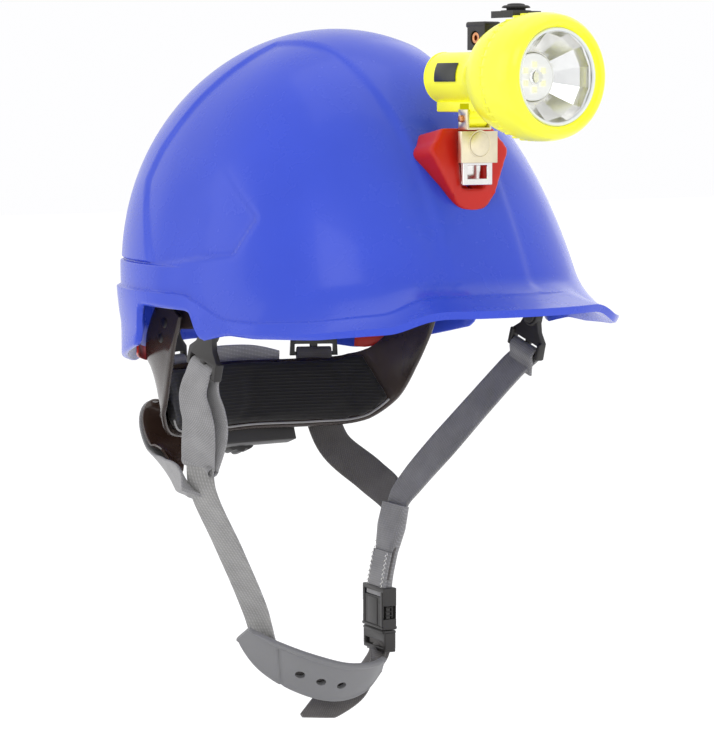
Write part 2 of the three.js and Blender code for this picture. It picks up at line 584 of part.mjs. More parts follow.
// ---- Nape cradle --------------------------------------------------------------------------
const armX = HEAD_HALF_WIDTH + BAND_WALL + 1.5;
const napeHalf = [
  point(armX, 56, 10), point(armX, 64, -4), point(armX - 3, 74, -20), point(armX - 10, 86, NAPE_Z + 10),
  point(armX - 21, 97, NAPE_Z + 2), point(armX - 43, NAPE_REAR_Y - 8, NAPE_Z),
];
const napePoints = [...napeHalf, point(0, NAPE_REAR_Y, NAPE_Z), ...napeHalf.map(mirrored).reverse()];
const napeLean = point(0, Math.sin(rad(NAPE_TILT)), Math.cos(rad(NAPE_TILT)));
const armLean = point(0, 0.9, 0.5);
const napeWide = [armLean, armLean, napeLean, napeLean, napeLean, napeLean, napeLean, armLean, armLean];
const napeWidth = (u) => between([[0, 22], [0.18, 30], [0.32, NAPE_HEIGHT], [0.68, NAPE_HEIGHT], [0.82, 30], [1, 22]], u);
addPart('nape_band', ribbon({
  points: napePoints, wide: napeWide, width: napeWidth, low: -BAND_WALL / 2, high: BAND_WALL / 2, steps: 48,
}), 'brown');
addPart('nape_pad', ribbon({
  points: napePoints, wide: napeWide, width: (u) => napeWidth(u) - 2,
  low: -BAND_WALL / 2 - PAD_GAP - NAPE_PAD_THICK, high: -BAND_WALL / 2 - PAD_GAP, steps: 32, from: 0.24, to: 0.76,
}), 'rubber');

// ---- Ratchet: housing, knob, pinion and the two racks, in a frame that leans with the band -
const ratchet = new THREE.Group();
ratchet.position.set(0, NAPE_REAR_Y, NAPE_Z);
ratchet.rotation.x = -rad(NAPE_TILT);
model.add(ratchet);
const GEAR_DROP = 14;
const pitchRadius = (GEAR_MODULE * GEAR_TEETH) / 2;
const toothPitch = Math.PI * GEAR_MODULE;
const BACKLASH = 0.5;
const toothWidth = toothPitch / 2 - BACKLASH;
const ADDENDUM = 1;
const DEDENDUM = 1.4;
const RACK_BAR = 2.8;
const cavityHalf = pitchRadius + DEDENDUM + RACK_BAR + GAP;
const housingFront = BAND_WALL / 2 + 0.5;
const HOUSING_SKIN = 2;
const cavityDepth = RACK_DEPTH + 2 * GAP + 0.4;
const cavityMid = housingFront + HOUSING_SKIN + cavityDepth / 2;
const housingDepth = cavityDepth + 2 * HOUSING_SKIN;
const SHAFT_RADIUS = 2.6;
addPart('ratchet_housing', cut(
  box(2 * HOUSING_HALF_LENGTH, housingDepth, 2 * (cavityHalf + HOUSING_SKIN), 0, cavityMid, -GEAR_DROP),
  box(2 * HOUSING_HALF_LENGTH + 4, cavityDepth, 2 * cavityHalf, 0, cavityMid, -GEAR_DROP),
  rod('y', SHAFT_RADIUS + 0.4, 10, 0, cavityMid + housingDepth / 2, -GEAR_DROP),
), 'black', ratchet);

function gearOutline() {
  const outline = [];
  for (let i = 0; i < GEAR_TEETH; i += 1) {
    const middle = Math.PI / 2 + (i / GEAR_TEETH) * 2 * Math.PI;
    const root = pitchRadius - DEDENDUM;
    const tip = pitchRadius + ADDENDUM;
    [[root, -1.15], [tip, -0.42], [tip, 0.42], [root, 1.15]].forEach(([radius, half]) => {
      outline.push([radius * Math.cos(middle + half / radius * (toothWidth / 1.4)),
        radius * Math.sin(middle + half / radius * (toothWidth / 1.4))]);
    });
  }
  return outline;
}
const gear = plate(gearOutline(), RACK_DEPTH).rotateX(Math.PI / 2).translate(0, RACK_DEPTH / 2, 0);
const shaftEnd = cavityMid + housingDepth / 2 + 0.6;
addPart('ratchet_pinion', union(
  gear.translate(0, cavityMid, -GEAR_DROP),
  rod('y', SHAFT_RADIUS, shaftEnd - cavityMid, 0, (shaftEnd + cavityMid) / 2, -GEAR_DROP, 16),
), 'steel', ratchet);

const RACK_INNER = -16;
const RACK_OUTER = 36;
function rackOutline() {
  const tipZ = pitchRadius - ADDENDUM;
  const rootZ = pitchRadius + DEDENDUM;
  const slope = Math.tan(rad(20));
  const outline = [[RACK_INNER, rootZ]];
  for (let i = -3; i <= 6; i += 1) {
    const middle = (i + 0.5) * toothPitch;
    const rootHalf = toothWidth / 2 + DEDENDUM * slope;
    const tipHalf = toothWidth / 2 - ADDENDUM * slope;
    outline.push([middle - rootHalf, rootZ], [middle - tipHalf, tipZ]);
    outline.push([middle + tipHalf, tipZ], [middle + rootHalf, rootZ]);
  }
  outline.push([RACK_OUTER, rootZ], [RACK_OUTER, rootZ + RACK_BAR], [RACK_INNER, rootZ + RACK_BAR]);
  return outline;
}
const rackBlank = plate(rackOutline(), RACK_DEPTH).rotateX(Math.PI / 2).translate(0, RACK_DEPTH / 2, 0);
addPart('rack_left', rackBlank.clone().translate(0, cavityMid, -GEAR_DROP), 'black', ratchet);
addPart('rack_right', rackBlank.clone().rotateY(Math.PI).translate(0, cavityMid, -GEAR_DROP), 'black', ratchet);

const GRIPS = 14;
const knobOutline = [];
for (let i = 0; i < GRIPS * 4; i += 1) {
  const angle = (i / (GRIPS * 4)) * 2 * Math.PI;
  const radius = KNOB_RADIUS - (i % 4 === 0 ? 1.2 : 0);
  knobOutline.push([radius * Math.cos(angle), radius * Math.sin(angle)]);
}
const knobAt = shaftEnd + GAP + KNOB_DEPTH;
addPart('ratchet_knob', plate(knobOutline, KNOB_DEPTH).rotateX(Math.PI / 2)
  .translate(0, knobAt, -GEAR_DROP), 'black', ratchet);

// ---- Chin harness -------------------------------------------------------------------------
const HOOK_THICK = 3;
const PEG_RADIUS = 2.4;
const HOOK_BOTTOM = 21;
const SLOT_DROP = 16.8;
const hookOutline = [
  [-6, 3.4], [-3.4, 6], [3.4, 6], [6, 3.4], [6, -3], [8, -7.5], [13, -12], [13.5, -HOOK_BOTTOM], [-13.5, -HOOK_BOTTOM],
  [-13, -12], [-8, -7.5], [-6, -3],
];
const hookShape = plate(hookOutline, HOOK_THICK, [
  roundHole(0, 0, PEG_RADIUS + 0.4), slotHole(0, -SLOT_DROP, WEB_WIDTH + 1.6, WEB_THICK + 2.6),
]).translate(0, 0, -HOOK_THICK / 2);
const HOOK_INSET = 5.6;
const FRONT_SWING = 18;
function addHook(place, centre, facing, swing) {
  const body = hookShape.clone().rotateX(Math.PI / 2).rotateZ(facing).rotateX(swing);
  addPart(`strap_hook_${place}`, body.translate(centre.x, centre.y, centre.z), 'black');
  const peg = lathe([[0, 0.9 - HOOK_INSET], [PEG_RADIUS, 0.9 - HOOK_INSET], [PEG_RADIUS, 2.2],
    [PEG_RADIUS + 2, 2.2], [PEG_RADIUS + 2, 3.8], [0, 3.8]], 16);
  addPart(`hook_peg_${place}`, peg.rotateZ(facing).translate(centre.x, centre.y, centre.z), 'black');
}

// A hook hangs on a peg inside the rim, HOOK_INSET in from the wall, where the wall faces out.
function hookPlace(angle, z) {
  const wall = shellOffset(angle, z, SHELL_WALL);
  const outward = shellNormal(angle, z).setZ(0).normalize();
  return { centre: wall.addScaledVector(outward, -HOOK_INSET), turn: Math.atan2(outward.y, outward.x) };
}
const FRONT_HOOK_Y = -16;
const FRONT_HOOK_Z = 3;
const REAR_HOOK_ANGLE = 66;
const REAR_HOOK_Z = -6;
const frontAngle = Math.asin(signedPower((FRONT_HOOK_Y - LEAN_START) / SHELL_HALF_LENGTH, PLAN_POWER / 2));
const frontHook = hookPlace(frontAngle, FRONT_HOOK_Z).centre;
const rear = hookPlace(rad(REAR_HOOK_ANGLE), REAR_HOOK_Z);
const rearHook = rear.centre;
const swing = rad(FRONT_SWING);
addHook('front_left', frontHook, Math.PI / 2, swing);
addHook('front_right', mirrored(frontHook), -Math.PI / 2, swing);
addHook('rear_left', rearHook, rear.turn + Math.PI / 2, 0);
addHook('rear_right', mirrored(rearHook), -rear.turn - Math.PI / 2, 0);

const frontFall = point(0, Math.sin(swing), -Math.cos(swing));
const frontWide = point(0, Math.cos(swing), Math.sin(swing));
const straightDown = point(0, 0, -1);
const LEAD = 9;
const led = (hook, fall) => [
  hook.clone().addScaledVector(fall, HOOK_BOTTOM + GAP),
  hook.clone().addScaledVector(fall, HOOK_BOTTOM + LEAD),
];
const side = point(Math.sin(rear.turn), -Math.cos(rear.turn), 0);
const webbing = { width: WEB_WIDTH, low: -WEB_THICK / 2, high: WEB_THICK / 2 };
const leftJoin = point(58, 50, -98);
const rightJoin = point(-88, 17, -74);

addPart('strap_front_left', ribbon({
  points: [...led(frontHook, frontFall), point(80, 22, -62), leftJoin],
  wide: [frontWide, frontWide, point(0, 0.8, 0.6), point(0, 0.9, 0.4)], ...webbing, steps: 14,
}), 'web');
addPart('strap_rear_left', ribbon({
  points: [...led(rearHook, straightDown), point(53, 120, -55), point(54, 106, -76), point(62, 82, -92),
    point(62, 60, -101)],
  wide: [side, side, side, point(0.9, -0.3, 0), point(0.5, -0.6, 0.6), point(0, 0.6, 0.8)], ...webbing, steps: 18,
}), 'web');
addPart('strap_front_right', ribbon({
  points: [...led(mirrored(frontHook), frontFall), point(-96, 2, -50), rightJoin],
  wide: [frontWide, frontWide, frontWide, point(0, 0.96, 0.2)], ...webbing, steps: 12,
}), 'web');
addPart('strap_rear_right', ribbon({
  points: [...led(mirrored(rearHook), straightDown), point(-53, 120, -55), point(-60, 103, -76),
    point(-78, 66, -79), point(-92, 24, -79)],
  wide: [mirrored(side), mirrored(side), mirrored(side), point(-0.9, 0.3, 0.3), point(-0.3, 0.3, 0.9),
    point(0, 0.6, 0.8)],
  ...webbing, steps: 20,
}), 'web');
const NAPE_STRAP_Y = 129;
addPart('nape_strap', ribbon({
  points: [point(-30, NAPE_STRAP_Y - 5, -31), point(-16, NAPE_STRAP_Y, -32), point(16, NAPE_STRAP_Y, -32),
    point(30, NAPE_STRAP_Y - 5, -31)],
  wide: upright, ...webbing, steps: 12,
}), 'web');

// Cup, hanging a little lower on the buckle side.
const cupPoints = [
  point(-48, 42, -163), point(-34, 37, -176), point(-14, 33, -187), point(8, 32, -194), point(28, 36, -194),
  point(40, 40, -189),
];
const cupLean = point(0, -0.5, 0.87);
const CUP_WALL = 2.6;
const cupWidth = (u) => 7 + 19 * Math.sin(Math.PI * Math.min(Math.max(u, 0.02), 0.98)) ** 0.6;
addPart('chin_cup', ribbon({
  points: cupPoints, wide: [cupLean, cupLean], width: cupWidth, low: -CUP_WALL / 2, high: CUP_WALL / 2, steps: 22,
}), 'cup');
addPart('cup_strap', ribbon({
  points: cupPoints, wide: [cupLean, cupLean], width: WEB_WIDTH - 8,
  low: -CUP_WALL / 2 - 0.8 - WEB_THICK, high: -CUP_WALL / 2 - 0.8, steps: 16, from: 0.12, to: 0.86,
}), 'web');
addPart('strap_lower_right', ribbon({
  points: [rightJoin.clone().add(point(1.5, 2, -9)), point(-66, 28, -114), point(-47, 38, -142),
    point(-38.5, 43, -155)],
  wide: [point(0, 0.96, 0.2), point(-0.2, 0.95, 0), point(-0.25, 0.93, 0), point(-0.2, 0.93, -0.1)],
  ...webbing, width: WEB_WIDTH - 2, steps: 20,
}), 'web');

// Side-release buckle on the left, upright, turned about Z to face outwards.
const buckle = new THREE.Group();
buckle.position.set(47, 52, 0);
buckle.rotation.z = rad(BUCKLE_TURN);
model.add(buckle);
const femaleHeight = BUCKLE_TOP_Z - BUCKLE_SPLIT_Z;
const femaleMid = (BUCKLE_TOP_Z + BUCKLE_SPLIT_Z) / 2;
const PRONG_WIDTH = 4;
const CORE_WIDTH = 9;
const pocketWidth = BUCKLE_WIDTH - 3;
const pocketDepth = BUCKLE_DEPTH - 4;
addPart('buckle_female', cut(
  box(BUCKLE_DEPTH, BUCKLE_WIDTH, femaleHeight, 0, 0, femaleMid),
  box(pocketDepth, pocketWidth, 17, 0, 0, BUCKLE_SPLIT_Z + 8),
  box(BUCKLE_DEPTH + 2, 3, 7, 0, BUCKLE_WIDTH / 2 - 1, femaleMid - 2),
  box(BUCKLE_DEPTH + 2, 3, 7, 0, 1 - BUCKLE_WIDTH / 2, femaleMid - 2),
  box(BUCKLE_DEPTH + 2, WEB_WIDTH + 1.4, 2.6, 0, 0, BUCKLE_TOP_Z - 4),
), 'black', buckle);
const maleTop = BUCKLE_SPLIT_Z - GAP;
const MALE_HEIGHT = 12;
const prong = (sign) => box(pocketDepth - 1.2, PRONG_WIDTH, 15, 0, sign * (pocketWidth / 2 - PRONG_WIDTH / 2 - 0.6),
  maleTop + 6.4);
addPart('buckle_male', cut(
  union(
    box(BUCKLE_DEPTH - 1, BUCKLE_WIDTH, MALE_HEIGHT, 0, 0, maleTop - MALE_HEIGHT / 2),
    prong(1),
    prong(-1),
    box(pocketDepth - 1.2, CORE_WIDTH, 14, 0, 0, maleTop + 6),
  ),
  box(BUCKLE_DEPTH + 2, WEB_WIDTH + 1.4, 3.4, 0, 0, maleTop - MALE_HEIGHT + 4),
), 'black', buckle);
const buckleAcross = point(Math.sin(rad(-BUCKLE_TURN)), Math.cos(rad(BUCKLE_TURN)), 0);
addPart('strap_lower_left', ribbon({
  points: [leftJoin.clone().add(point(-1, 0, -13)), point(52, 51, -128), point(47, 52, BUCKLE_TOP_Z + 2)],
  wide: [point(0, 0.9, 0.3), buckleAcross, buckleAcross], ...webbing, width: WEB_WIDTH + 2,
  low: -WEB_THICK, high: WEB_THICK, steps: 8,
}), 'web');
const maleBottom = maleTop - MALE_HEIGHT;
addPart('strap_tail', ribbon({
  points: [point(47, 54, maleBottom - 2.2), point(41, 55, maleBottom - 11), point(31, 53, maleBottom - 20),
    point(12, 48, maleBottom - 25), point(-9, 45, maleBottom - 29)],
  wide: [buckleAcross, buckleAcross, point(0, 0.9, 0.3), point(0, 0.7, 0.7), point(0, 0.7, 0.7)],
  ...webbing, width: (u) => WEB_WIDTH - 2 - 8 * Math.max(u - 0.86, 0) / 0.14, steps: 18,
}), 'web');

export default model;
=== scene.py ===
"""Miner's safety helmet with a clip-on cap lamp. Metres, +Z up, front towards -Y."""
import math

import bpy
from mathutils import Matrix, Vector


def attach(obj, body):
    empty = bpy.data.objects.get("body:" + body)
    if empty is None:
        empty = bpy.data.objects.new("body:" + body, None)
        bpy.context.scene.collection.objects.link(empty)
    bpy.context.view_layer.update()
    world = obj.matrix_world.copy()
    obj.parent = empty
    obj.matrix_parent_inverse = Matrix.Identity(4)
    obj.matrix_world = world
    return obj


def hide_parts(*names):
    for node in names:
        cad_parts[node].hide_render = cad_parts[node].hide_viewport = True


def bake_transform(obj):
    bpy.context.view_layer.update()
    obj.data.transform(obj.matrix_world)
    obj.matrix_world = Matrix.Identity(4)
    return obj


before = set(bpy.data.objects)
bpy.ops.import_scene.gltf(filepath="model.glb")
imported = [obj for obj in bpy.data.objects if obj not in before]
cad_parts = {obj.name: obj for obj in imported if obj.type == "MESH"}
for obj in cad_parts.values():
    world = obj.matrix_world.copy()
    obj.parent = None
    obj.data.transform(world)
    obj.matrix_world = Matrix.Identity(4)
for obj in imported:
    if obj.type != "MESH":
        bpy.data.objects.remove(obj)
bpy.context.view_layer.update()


# ---- Camera, light and floor ----------------------------------------------------------------

CAMERA_DISTANCE = 1.5
CAMERA_LENS = 138.8
CAMERA_SENSOR = 36
AIM_RIGHT = 0.00363
AIM_UP = 0.02617
FLOOR_HEIGHT = -0.26
SIDEWAYS = (1, 0, 0)


def set_camera():
    back = Vector((-0.571, -0.8154, 0.0958)).normalized()
    right = Vector((0.8192, -0.5736, 0.0))
    up = back.cross(right).normalized()
    right = up.cross(back).normalized()
    place = back * CAMERA_DISTANCE - right * AIM_RIGHT - up * AIM_UP
    data = bpy.data.cameras.new("studio_camera")
    data.lens = CAMERA_LENS
    data.sensor_width = CAMERA_SENSOR
    data.clip_start = 0.05
    camera = bpy.data.objects.new("studio_camera", data)
    turn = Matrix((right, up, back)).transposed().to_4x4()
    camera.matrix_world = Matrix.Translation(place) @ turn
    bpy.context.scene.collection.objects.link(camera)
    bpy.context.scene.camera = camera


def soft_light(name, place, aim, size, power, tint=(1, 1, 1)):
    data = bpy.data.lights.new(name, "AREA")
    data.shape = "RECTANGLE"
    data.size, data.size_y = size
    data.energy = power
    data.color = tint
    lamp = bpy.data.objects.new(name, data)
    lamp.location = place
    lamp.rotation_euler = (Vector(aim) - Vector(place)).to_track_quat("-Z", "Y").to_euler()
    bpy.context.scene.collection.objects.link(lamp)


def set_lights():
    soft_light("key_light", (-1.5, -1.1, 1.2), (0, 0, 0.02), (0.9, 0.9), 4.5)
    soft_light("front_fill", (0.5, -2.0, 0.5), (0, 0, 0), (1.4, 1.2), 3.5)
    soft_light("top_light", (0.1, 0.2, 1.6), (0, 0, 0), (1.2, 1.0), 2.6)
    soft_light("left_rear_light", (-1.4, 0.9, 0.5), (0, 0, 0), (0.7, 1.2), 2.2)
    soft_light("right_rear_light", (1.4, 0.9, 0.6), (0, 0, 0), (0.8, 1.2), 1.4)
    soft_light("low_fill", (-0.6, -1.5, -0.18), (0, 0, -0.05), (1.0, 0.2), 0.6)
    world = bpy.data.worlds.new("studio_world")
    world.use_nodes = True
    world.node_tree.nodes["Background"].inputs["Color"].default_value = (0.97, 0.97, 0.98, 1)
    world.node_tree.nodes["Background"].inputs["Strength"].default_value = 1.02
    bpy.context.scene.world = world
    bpy.context.scene.view_settings.view_transform = "Standard"
    bpy.context.scene.view_settings.look = "None"


def pale_floor():
    clear_selection()
    bpy.ops.mesh.primitive_plane_add(size=14, location=(0, 0, FLOOR_HEIGHT))
    floor = bpy.context.object
    floor.name = "studio_floor"
    material, _, _, shader = new_material("studio_floor")
    shader.inputs["Base Color"].default_value = (0.94, 0.94, 0.94, 1)
    shader.inputs["Emission Color"].default_value = (1, 1, 1, 1)
    shader.inputs["Emission Strength"].default_value = 0.12
    shader.inputs["Roughness"].default_value = 0.9
    floor.data.materials.append(material)


# ---- Shaping helpers ------------------------------------------------------------------------

def clear_selection():
    if bpy.context.object and bpy.context.object.mode != "OBJECT":
        bpy.ops.object.mode_set(mode="OBJECT")
    bpy.ops.object.select_all(action="DESELECT")


def only(obj):
    clear_selection()
    obj.select_set(True)
    bpy.context.view_layer.objects.active = obj


def apply_modifier(obj, kind, **values):
    only(obj)
    modifier = obj.modifiers.new(kind.lower(), kind)
    for key, value in values.items():
        setattr(modifier, key, value)
    bpy.ops.object.modifier_apply(modifier=modifier.name)
    return obj


def soften(obj, width, segments=2, angle=30):
    return apply_modifier(obj, "BEVEL", width=width, segments=segments, limit_method="ANGLE",
                          angle_limit=math.radians(angle), harden_normals=False)


def smooth(obj, angle=35):
    only(obj)
    bpy.ops.object.shade_smooth_by_angle(angle=math.radians(angle))
    return obj


def tidy(obj, merge=1e-6):
    """Merges doubles and turns every face outwards."""
    only(obj)
    bpy.ops.object.mode_set(mode="EDIT")
    bpy.ops.mesh.select_all(action="SELECT")
    bpy.ops.mesh.remove_doubles(threshold=merge)
    bpy.ops.mesh.normals_make_consistent(inside=False)
    bpy.ops.object.mode_set(mode="OBJECT")
    return obj


def dress(obj, name, finish):
    obj.name = name
    obj.data.name = name
    obj.data.materials.clear()
    obj.data.materials.append(FINISH[finish])


def finish_piece(obj, name, finish, body, nodes=()):
    dress(obj, name, finish)
    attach(obj, body)
    if nodes:
        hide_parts(*nodes)
    return obj


def vectors(rows):
    return [Vector(row) for row in rows]


def shaped_sheet(columns, rows, place, measure=None, capped=False, closed=True):
    """A grid whose points are set by place(column, row). measure(column, row) gives its UV."""
    clear_selection()
    bpy.ops.mesh.primitive_grid_add(x_subdivisions=columns, y_subdivisions=rows, size=2)
    obj = bpy.context.object
    mesh = obj.data
    at = [(round((v.co.x + 1) / 2 * columns), round((v.co.y + 1) / 2 * rows)) for v in mesh.vertices]
    if measure:
        uv = mesh.uv_layers.active.data
        for loop in mesh.loops:
            uv[loop.index].uv = measure(*at[loop.vertex_index])
    for vertex in mesh.vertices:
        vertex.co = place(*at[vertex.index])
    if closed:
        only(obj)
        bpy.ops.object.mode_set(mode="EDIT")
        bpy.ops.mesh.select_all(action="SELECT")
        bpy.ops.mesh.remove_doubles(threshold=1e-6)
        if capped:
            bpy.ops.mesh.select_all(action="DESELECT")
            bpy.ops.mesh.select_non_manifold()
            bpy.ops.mesh.fill_holes(sides=0)
            bpy.ops.mesh.select_all(action="SELECT")
        bpy.ops.mesh.normals_make_consistent(inside=False)
        bpy.ops.object.mode_set(mode="OBJECT")
    return obj


def rounded(corners, radius, closed=True, steps=3):
    """The same outline with each corner turned to a short curve."""
    out = []
    count = len(corners)
    for i, corner in enumerate(corners):
        before = corners[i - 1]
        after = corners[(i + 1) % count]
        if not closed and i in (0, count - 1):
            out.append(corner)
            continue
        to_before = Vector((before[0] - corner[0], before[1] - corner[1]))
        to_after = Vector((after[0] - corner[0], after[1] - corner[1]))
        reach = min(radius, to_before.length * 0.45, to_after.length * 0.45)
        if reach < 1e-7 or abs(corner[0]) < 1e-9:
            out.append(corner)
            continue
        start = Vector(corner) + to_before.normalized() * reach
        end = Vector(corner) + to_after.normalized() * reach
        for k in range(steps + 1):
            t = k / steps
            p = start * (1 - t) ** 2 + Vector(corner) * (2 * t * (1 - t)) + end * t ** 2
            out.append((p.x, p.y))
    return out


def turned(profile, centre, axis, steps=96):
    """A closed (radius, along) outline spun round an axis."""
    axis = Vector(axis).normalized()
    outward = axis.orthogonal().normalized()
    centre = Vector(centre)
    clear_selection()
    bpy.ops.mesh.primitive_circle_add(vertices=len(profile), fill_type="NOTHING")
    obj = bpy.context.object
    for vertex, (radius, along) in zip(obj.data.vertices, profile):
        vertex.co = centre + axis * along + outward * radius
    only(obj)
    bpy.ops.object.mode_set(mode="EDIT")
    bpy.ops.mesh.select_all(action="SELECT")
    bpy.ops.mesh.spin(steps=steps, angle=2 * math.pi, center=centre, axis=axis)
    bpy.ops.mesh.select_all(action="SELECT")
    bpy.ops.mesh.remove_doubles(threshold=1e-6)
    bpy.ops.mesh.dissolve_degenerate(threshold=1e-7)
    bpy.ops.mesh.select_all(action="SELECT")
    bpy.ops.mesh.normals_make_consistent(inside=False)
    bpy.ops.object.mode_set(mode="OBJECT")
    return obj


def block(size, place, turn=None):
    clear_selection()
    bpy.ops.mesh.primitive_cube_add(size=1)
    obj = bpy.context.object
    obj.data.transform(Matrix.Diagonal((*size, 1)))
    if turn:
        obj.data.transform(turn)
    obj.data.transform(Matrix.Translation(place))
    return obj


def carve(obj, cutter, operation="DIFFERENCE"):
    apply_modifier(obj, "BOOLEAN", operation=operation, object=cutter, solver="EXACT")
    bpy.data.objects.remove(cutter, do_unlink=True)
    return obj


def join(first, *others):
    only(first)
    for other in others:
        other.select_set(True)
    bpy.ops.object.join()
    return first


def worked_copy(node, bevel=0.0004, segments=2, angle=30):
    """A copy of a CAD solid with its doubles merged, flat faces joined and edges broken."""
    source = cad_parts[node]
    mesh = source.data.copy()
    mesh.transform(source.matrix_world)
    obj = bpy.data.objects.new(node + "_worked", mesh)
    bpy.context.scene.collection.objects.link(obj)
    only(obj)
    bpy.ops.object.mode_set(mode="EDIT")
    bpy.ops.mesh.select_all(action="SELECT")
    bpy.ops.mesh.remove_doubles(threshold=2e-6)
    bpy.ops.mesh.dissolve_limited(angle_limit=math.radians(0.6))
    bpy.ops.object.mode_set(mode="OBJECT")
    if bevel:
        soften(obj, bevel, segments, angle)
    return smooth(obj)


# ---- Curves and bands -----------------------------------------------------------------------

class Route:
    """A smooth curve through points, with even spacing by chord."""

    def __init__(self, points):
        self.points = [Vector(p) for p in points]

    def at(self, u):
        points = self.points
        last = len(points) - 1
        place = min(max(u, 0.0), 1.0) * last
        i = min(int(place), last - 1)
        t = place - i
        p1, p2 = points[i], points[i + 1]
        p0 = points[i - 1] if i > 0 else p1 * 2 - p2
        p3 = points[i + 2] if i + 2 <= last else p2 * 2 - p1
        d0 = max((p1 - p0).length ** 0.5, 1e-6)
        d1 = max((p2 - p1).length ** 0.5, 1e-6)
        d2 = max((p3 - p2).length ** 0.5, 1e-6)
        m1 = ((p1 - p0) / d0 - (p2 - p0) / (d0 + d1) + (p2 - p1) / d1) * d1
        m2 = ((p2 - p1) / d1 - (p3 - p1) / (d1 + d2) + (p3 - p2) / d2) * d1
        return (p1 * (2 * t ** 3 - 3 * t ** 2 + 1) + m1 * (t ** 3 - 2 * t ** 2 + t)
                + p2 * (3 * t ** 2 - 2 * t ** 3) + m2 * (t ** 3 - t ** 2))

    def tangent(self, u):
        low, high = max(u - 1e-4, 0), min(u + 1e-4, 1)
        return (self.at(high) - self.at(low)).normalized()


def across_at(wide, u, tangent):
    place = u * (len(wide) - 1)
    first = min(int(place), len(wide) - 2)
    across = Vector(wide[first]).lerp(Vector(wide[first + 1]), place - first)
    return (across - tangent * across.dot(tangent)).normalized()


def frame_at(route, wide, u):
    """The point on a route, with the directions along it, across it and out of it."""
    tangent = route.tangent(u)
    across = across_at(wide, u, tangent)
    return route.at(u), tangent, across, tangent.cross(across)


def millimetres(rows):
    return [(first / 1000, second / 1000) for first, second in rows]


def band_section(half_width, low, high, round_points=5, flat_points=8):
    """Points round a flat band's section with rounded edges, as (across, out)."""
    radius = (high - low) / 2
    middle = (high + low) / 2
    flat = half_width - radius
    section = []
    for i in range(flat_points):
        section.append((-flat + 2 * flat * i / flat_points, high))
    for i in range(round_points):
        angle = math.pi / 2 - math.pi * i / round_points
        section.append((flat + radius * math.cos(angle), middle + radius * math.sin(angle)))
    for i in range(flat_points):
        section.append((flat - 2 * flat * i / flat_points, low))
    for i in range(round_points):
        angle = -math.pi / 2 - math.pi * i / round_points
        section.append((-flat + radius * math.cos(angle), middle + radius * math.sin(angle)))
    return section


def swept_band(points, wide, width, low, high, steps, start=0.0, end=1.0, relief=None, section_points=8):
    """A band along a curve. relief(u, across_share, side) moves a face outwards a little."""
    route = Route(points)
    rings, lengths = [], [0.0]
    for row in range(steps + 1):
        u = start + (end - start) * row / steps
        centre, _, across, out = frame_at(route, wide, u)
        rings.append((centre, across, out, u))
        if row:
            lengths.append(lengths[-1] + (rings[-1][0] - rings[-2][0]).length)
    columns = len(band_section(1, -0.1, 0.1, flat_points=section_points))

    def place(column, row):
        centre, across, out, u = rings[row]
        wideness = width(u) if callable(width) else width
        x, y = band_section(wideness / 2, low, high, flat_points=section_points)[column % columns]
        if relief:
            side = 1 if y > (low + high) / 2 else -1
            y += side * relief(u, 2 * x / wideness, side)
        return centre + across * x + out * y

    def measure(column, row):
        wideness = width(rings[row][3]) if callable(width) else width
        x, _ = band_section(wideness / 2, low, high, flat_points=section_points)[column % columns]
        return (x, lengths[row])

    return smooth(shaped_sheet(columns, steps, place, measure, capped=True), 50)


# ---- Material helpers -----------------------------------------------------------------------

def new_material(name):
    material = bpy.data.materials.new(name)
    material.use_nodes = True
    nodes = material.node_tree.nodes
    return material, nodes, material.node_tree.links, nodes["Principled BSDF"]


def add_node(nodes, kind, **values):
    node = nodes.new(kind)
    for key, value in values.items():
        if key in node.inputs:
            node.inputs[key].default_value = value
        else:
            setattr(node, key, value)
    return node


def coordinates(nodes, links, scale=(1, 1, 1), source="Object"):
    where = nodes.new("ShaderNodeTexCoord")
    mapping = add_node(nodes, "ShaderNodeMapping")
    mapping.inputs["Scale"].default_value = scale
    links.new(where.outputs[source], mapping.inputs["Vector"])
    return mapping.outputs["Vector"]


def noise(nodes, links, vector, scale, detail=3.0, roughness=0.55):
    texture = add_node(nodes, "ShaderNodeTexNoise", Scale=scale, Detail=detail, Roughness=roughness)
    links.new(vector, texture.inputs["Vector"])
    return texture.outputs["Fac"]


def ramp(nodes, links, value, stops):
    node = nodes.new("ShaderNodeValToRGB")
    elements = node.color_ramp.elements
    while len(elements) < len(stops):
        elements.new(0.5)
    for element, (place, colour) in zip(elements, stops):
        element.position = place
        element.color = (*colour, 1) if len(colour) == 3 else colour
    links.new(value, node.inputs["Fac"])
    return node.outputs["Color"]


def spread(nodes, links, value, low, high):
    node = add_node(nodes, "ShaderNodeMapRange")
    node.inputs["To Min"].default_value = low
    node.inputs["To Max"].default_value = high
    links.new(value, node.inputs["Value"])
    return node.outputs["Result"]


def sums(nodes, links, operation, first, second):
    node = nodes.new("ShaderNodeMath")
    node.operation = operation
    for socket, value in zip(node.inputs, (first, second)):
        if isinstance(value, (int, float)):
            socket.default_value = value
        else:
            links.new(value, socket)
    return node.outputs["Value"]


def add_bump(nodes, links, shader, height, strength, distance, before=None):
    bump = add_node(nodes, "ShaderNodeBump", Strength=strength, Distance=distance)
    links.new(height, bump.inputs["Height"])
    if before:
        links.new(before, bump.inputs["Normal"])
    links.new(bump.outputs["Normal"], shader.inputs["Normal"])
    return bump.outputs["Normal"]


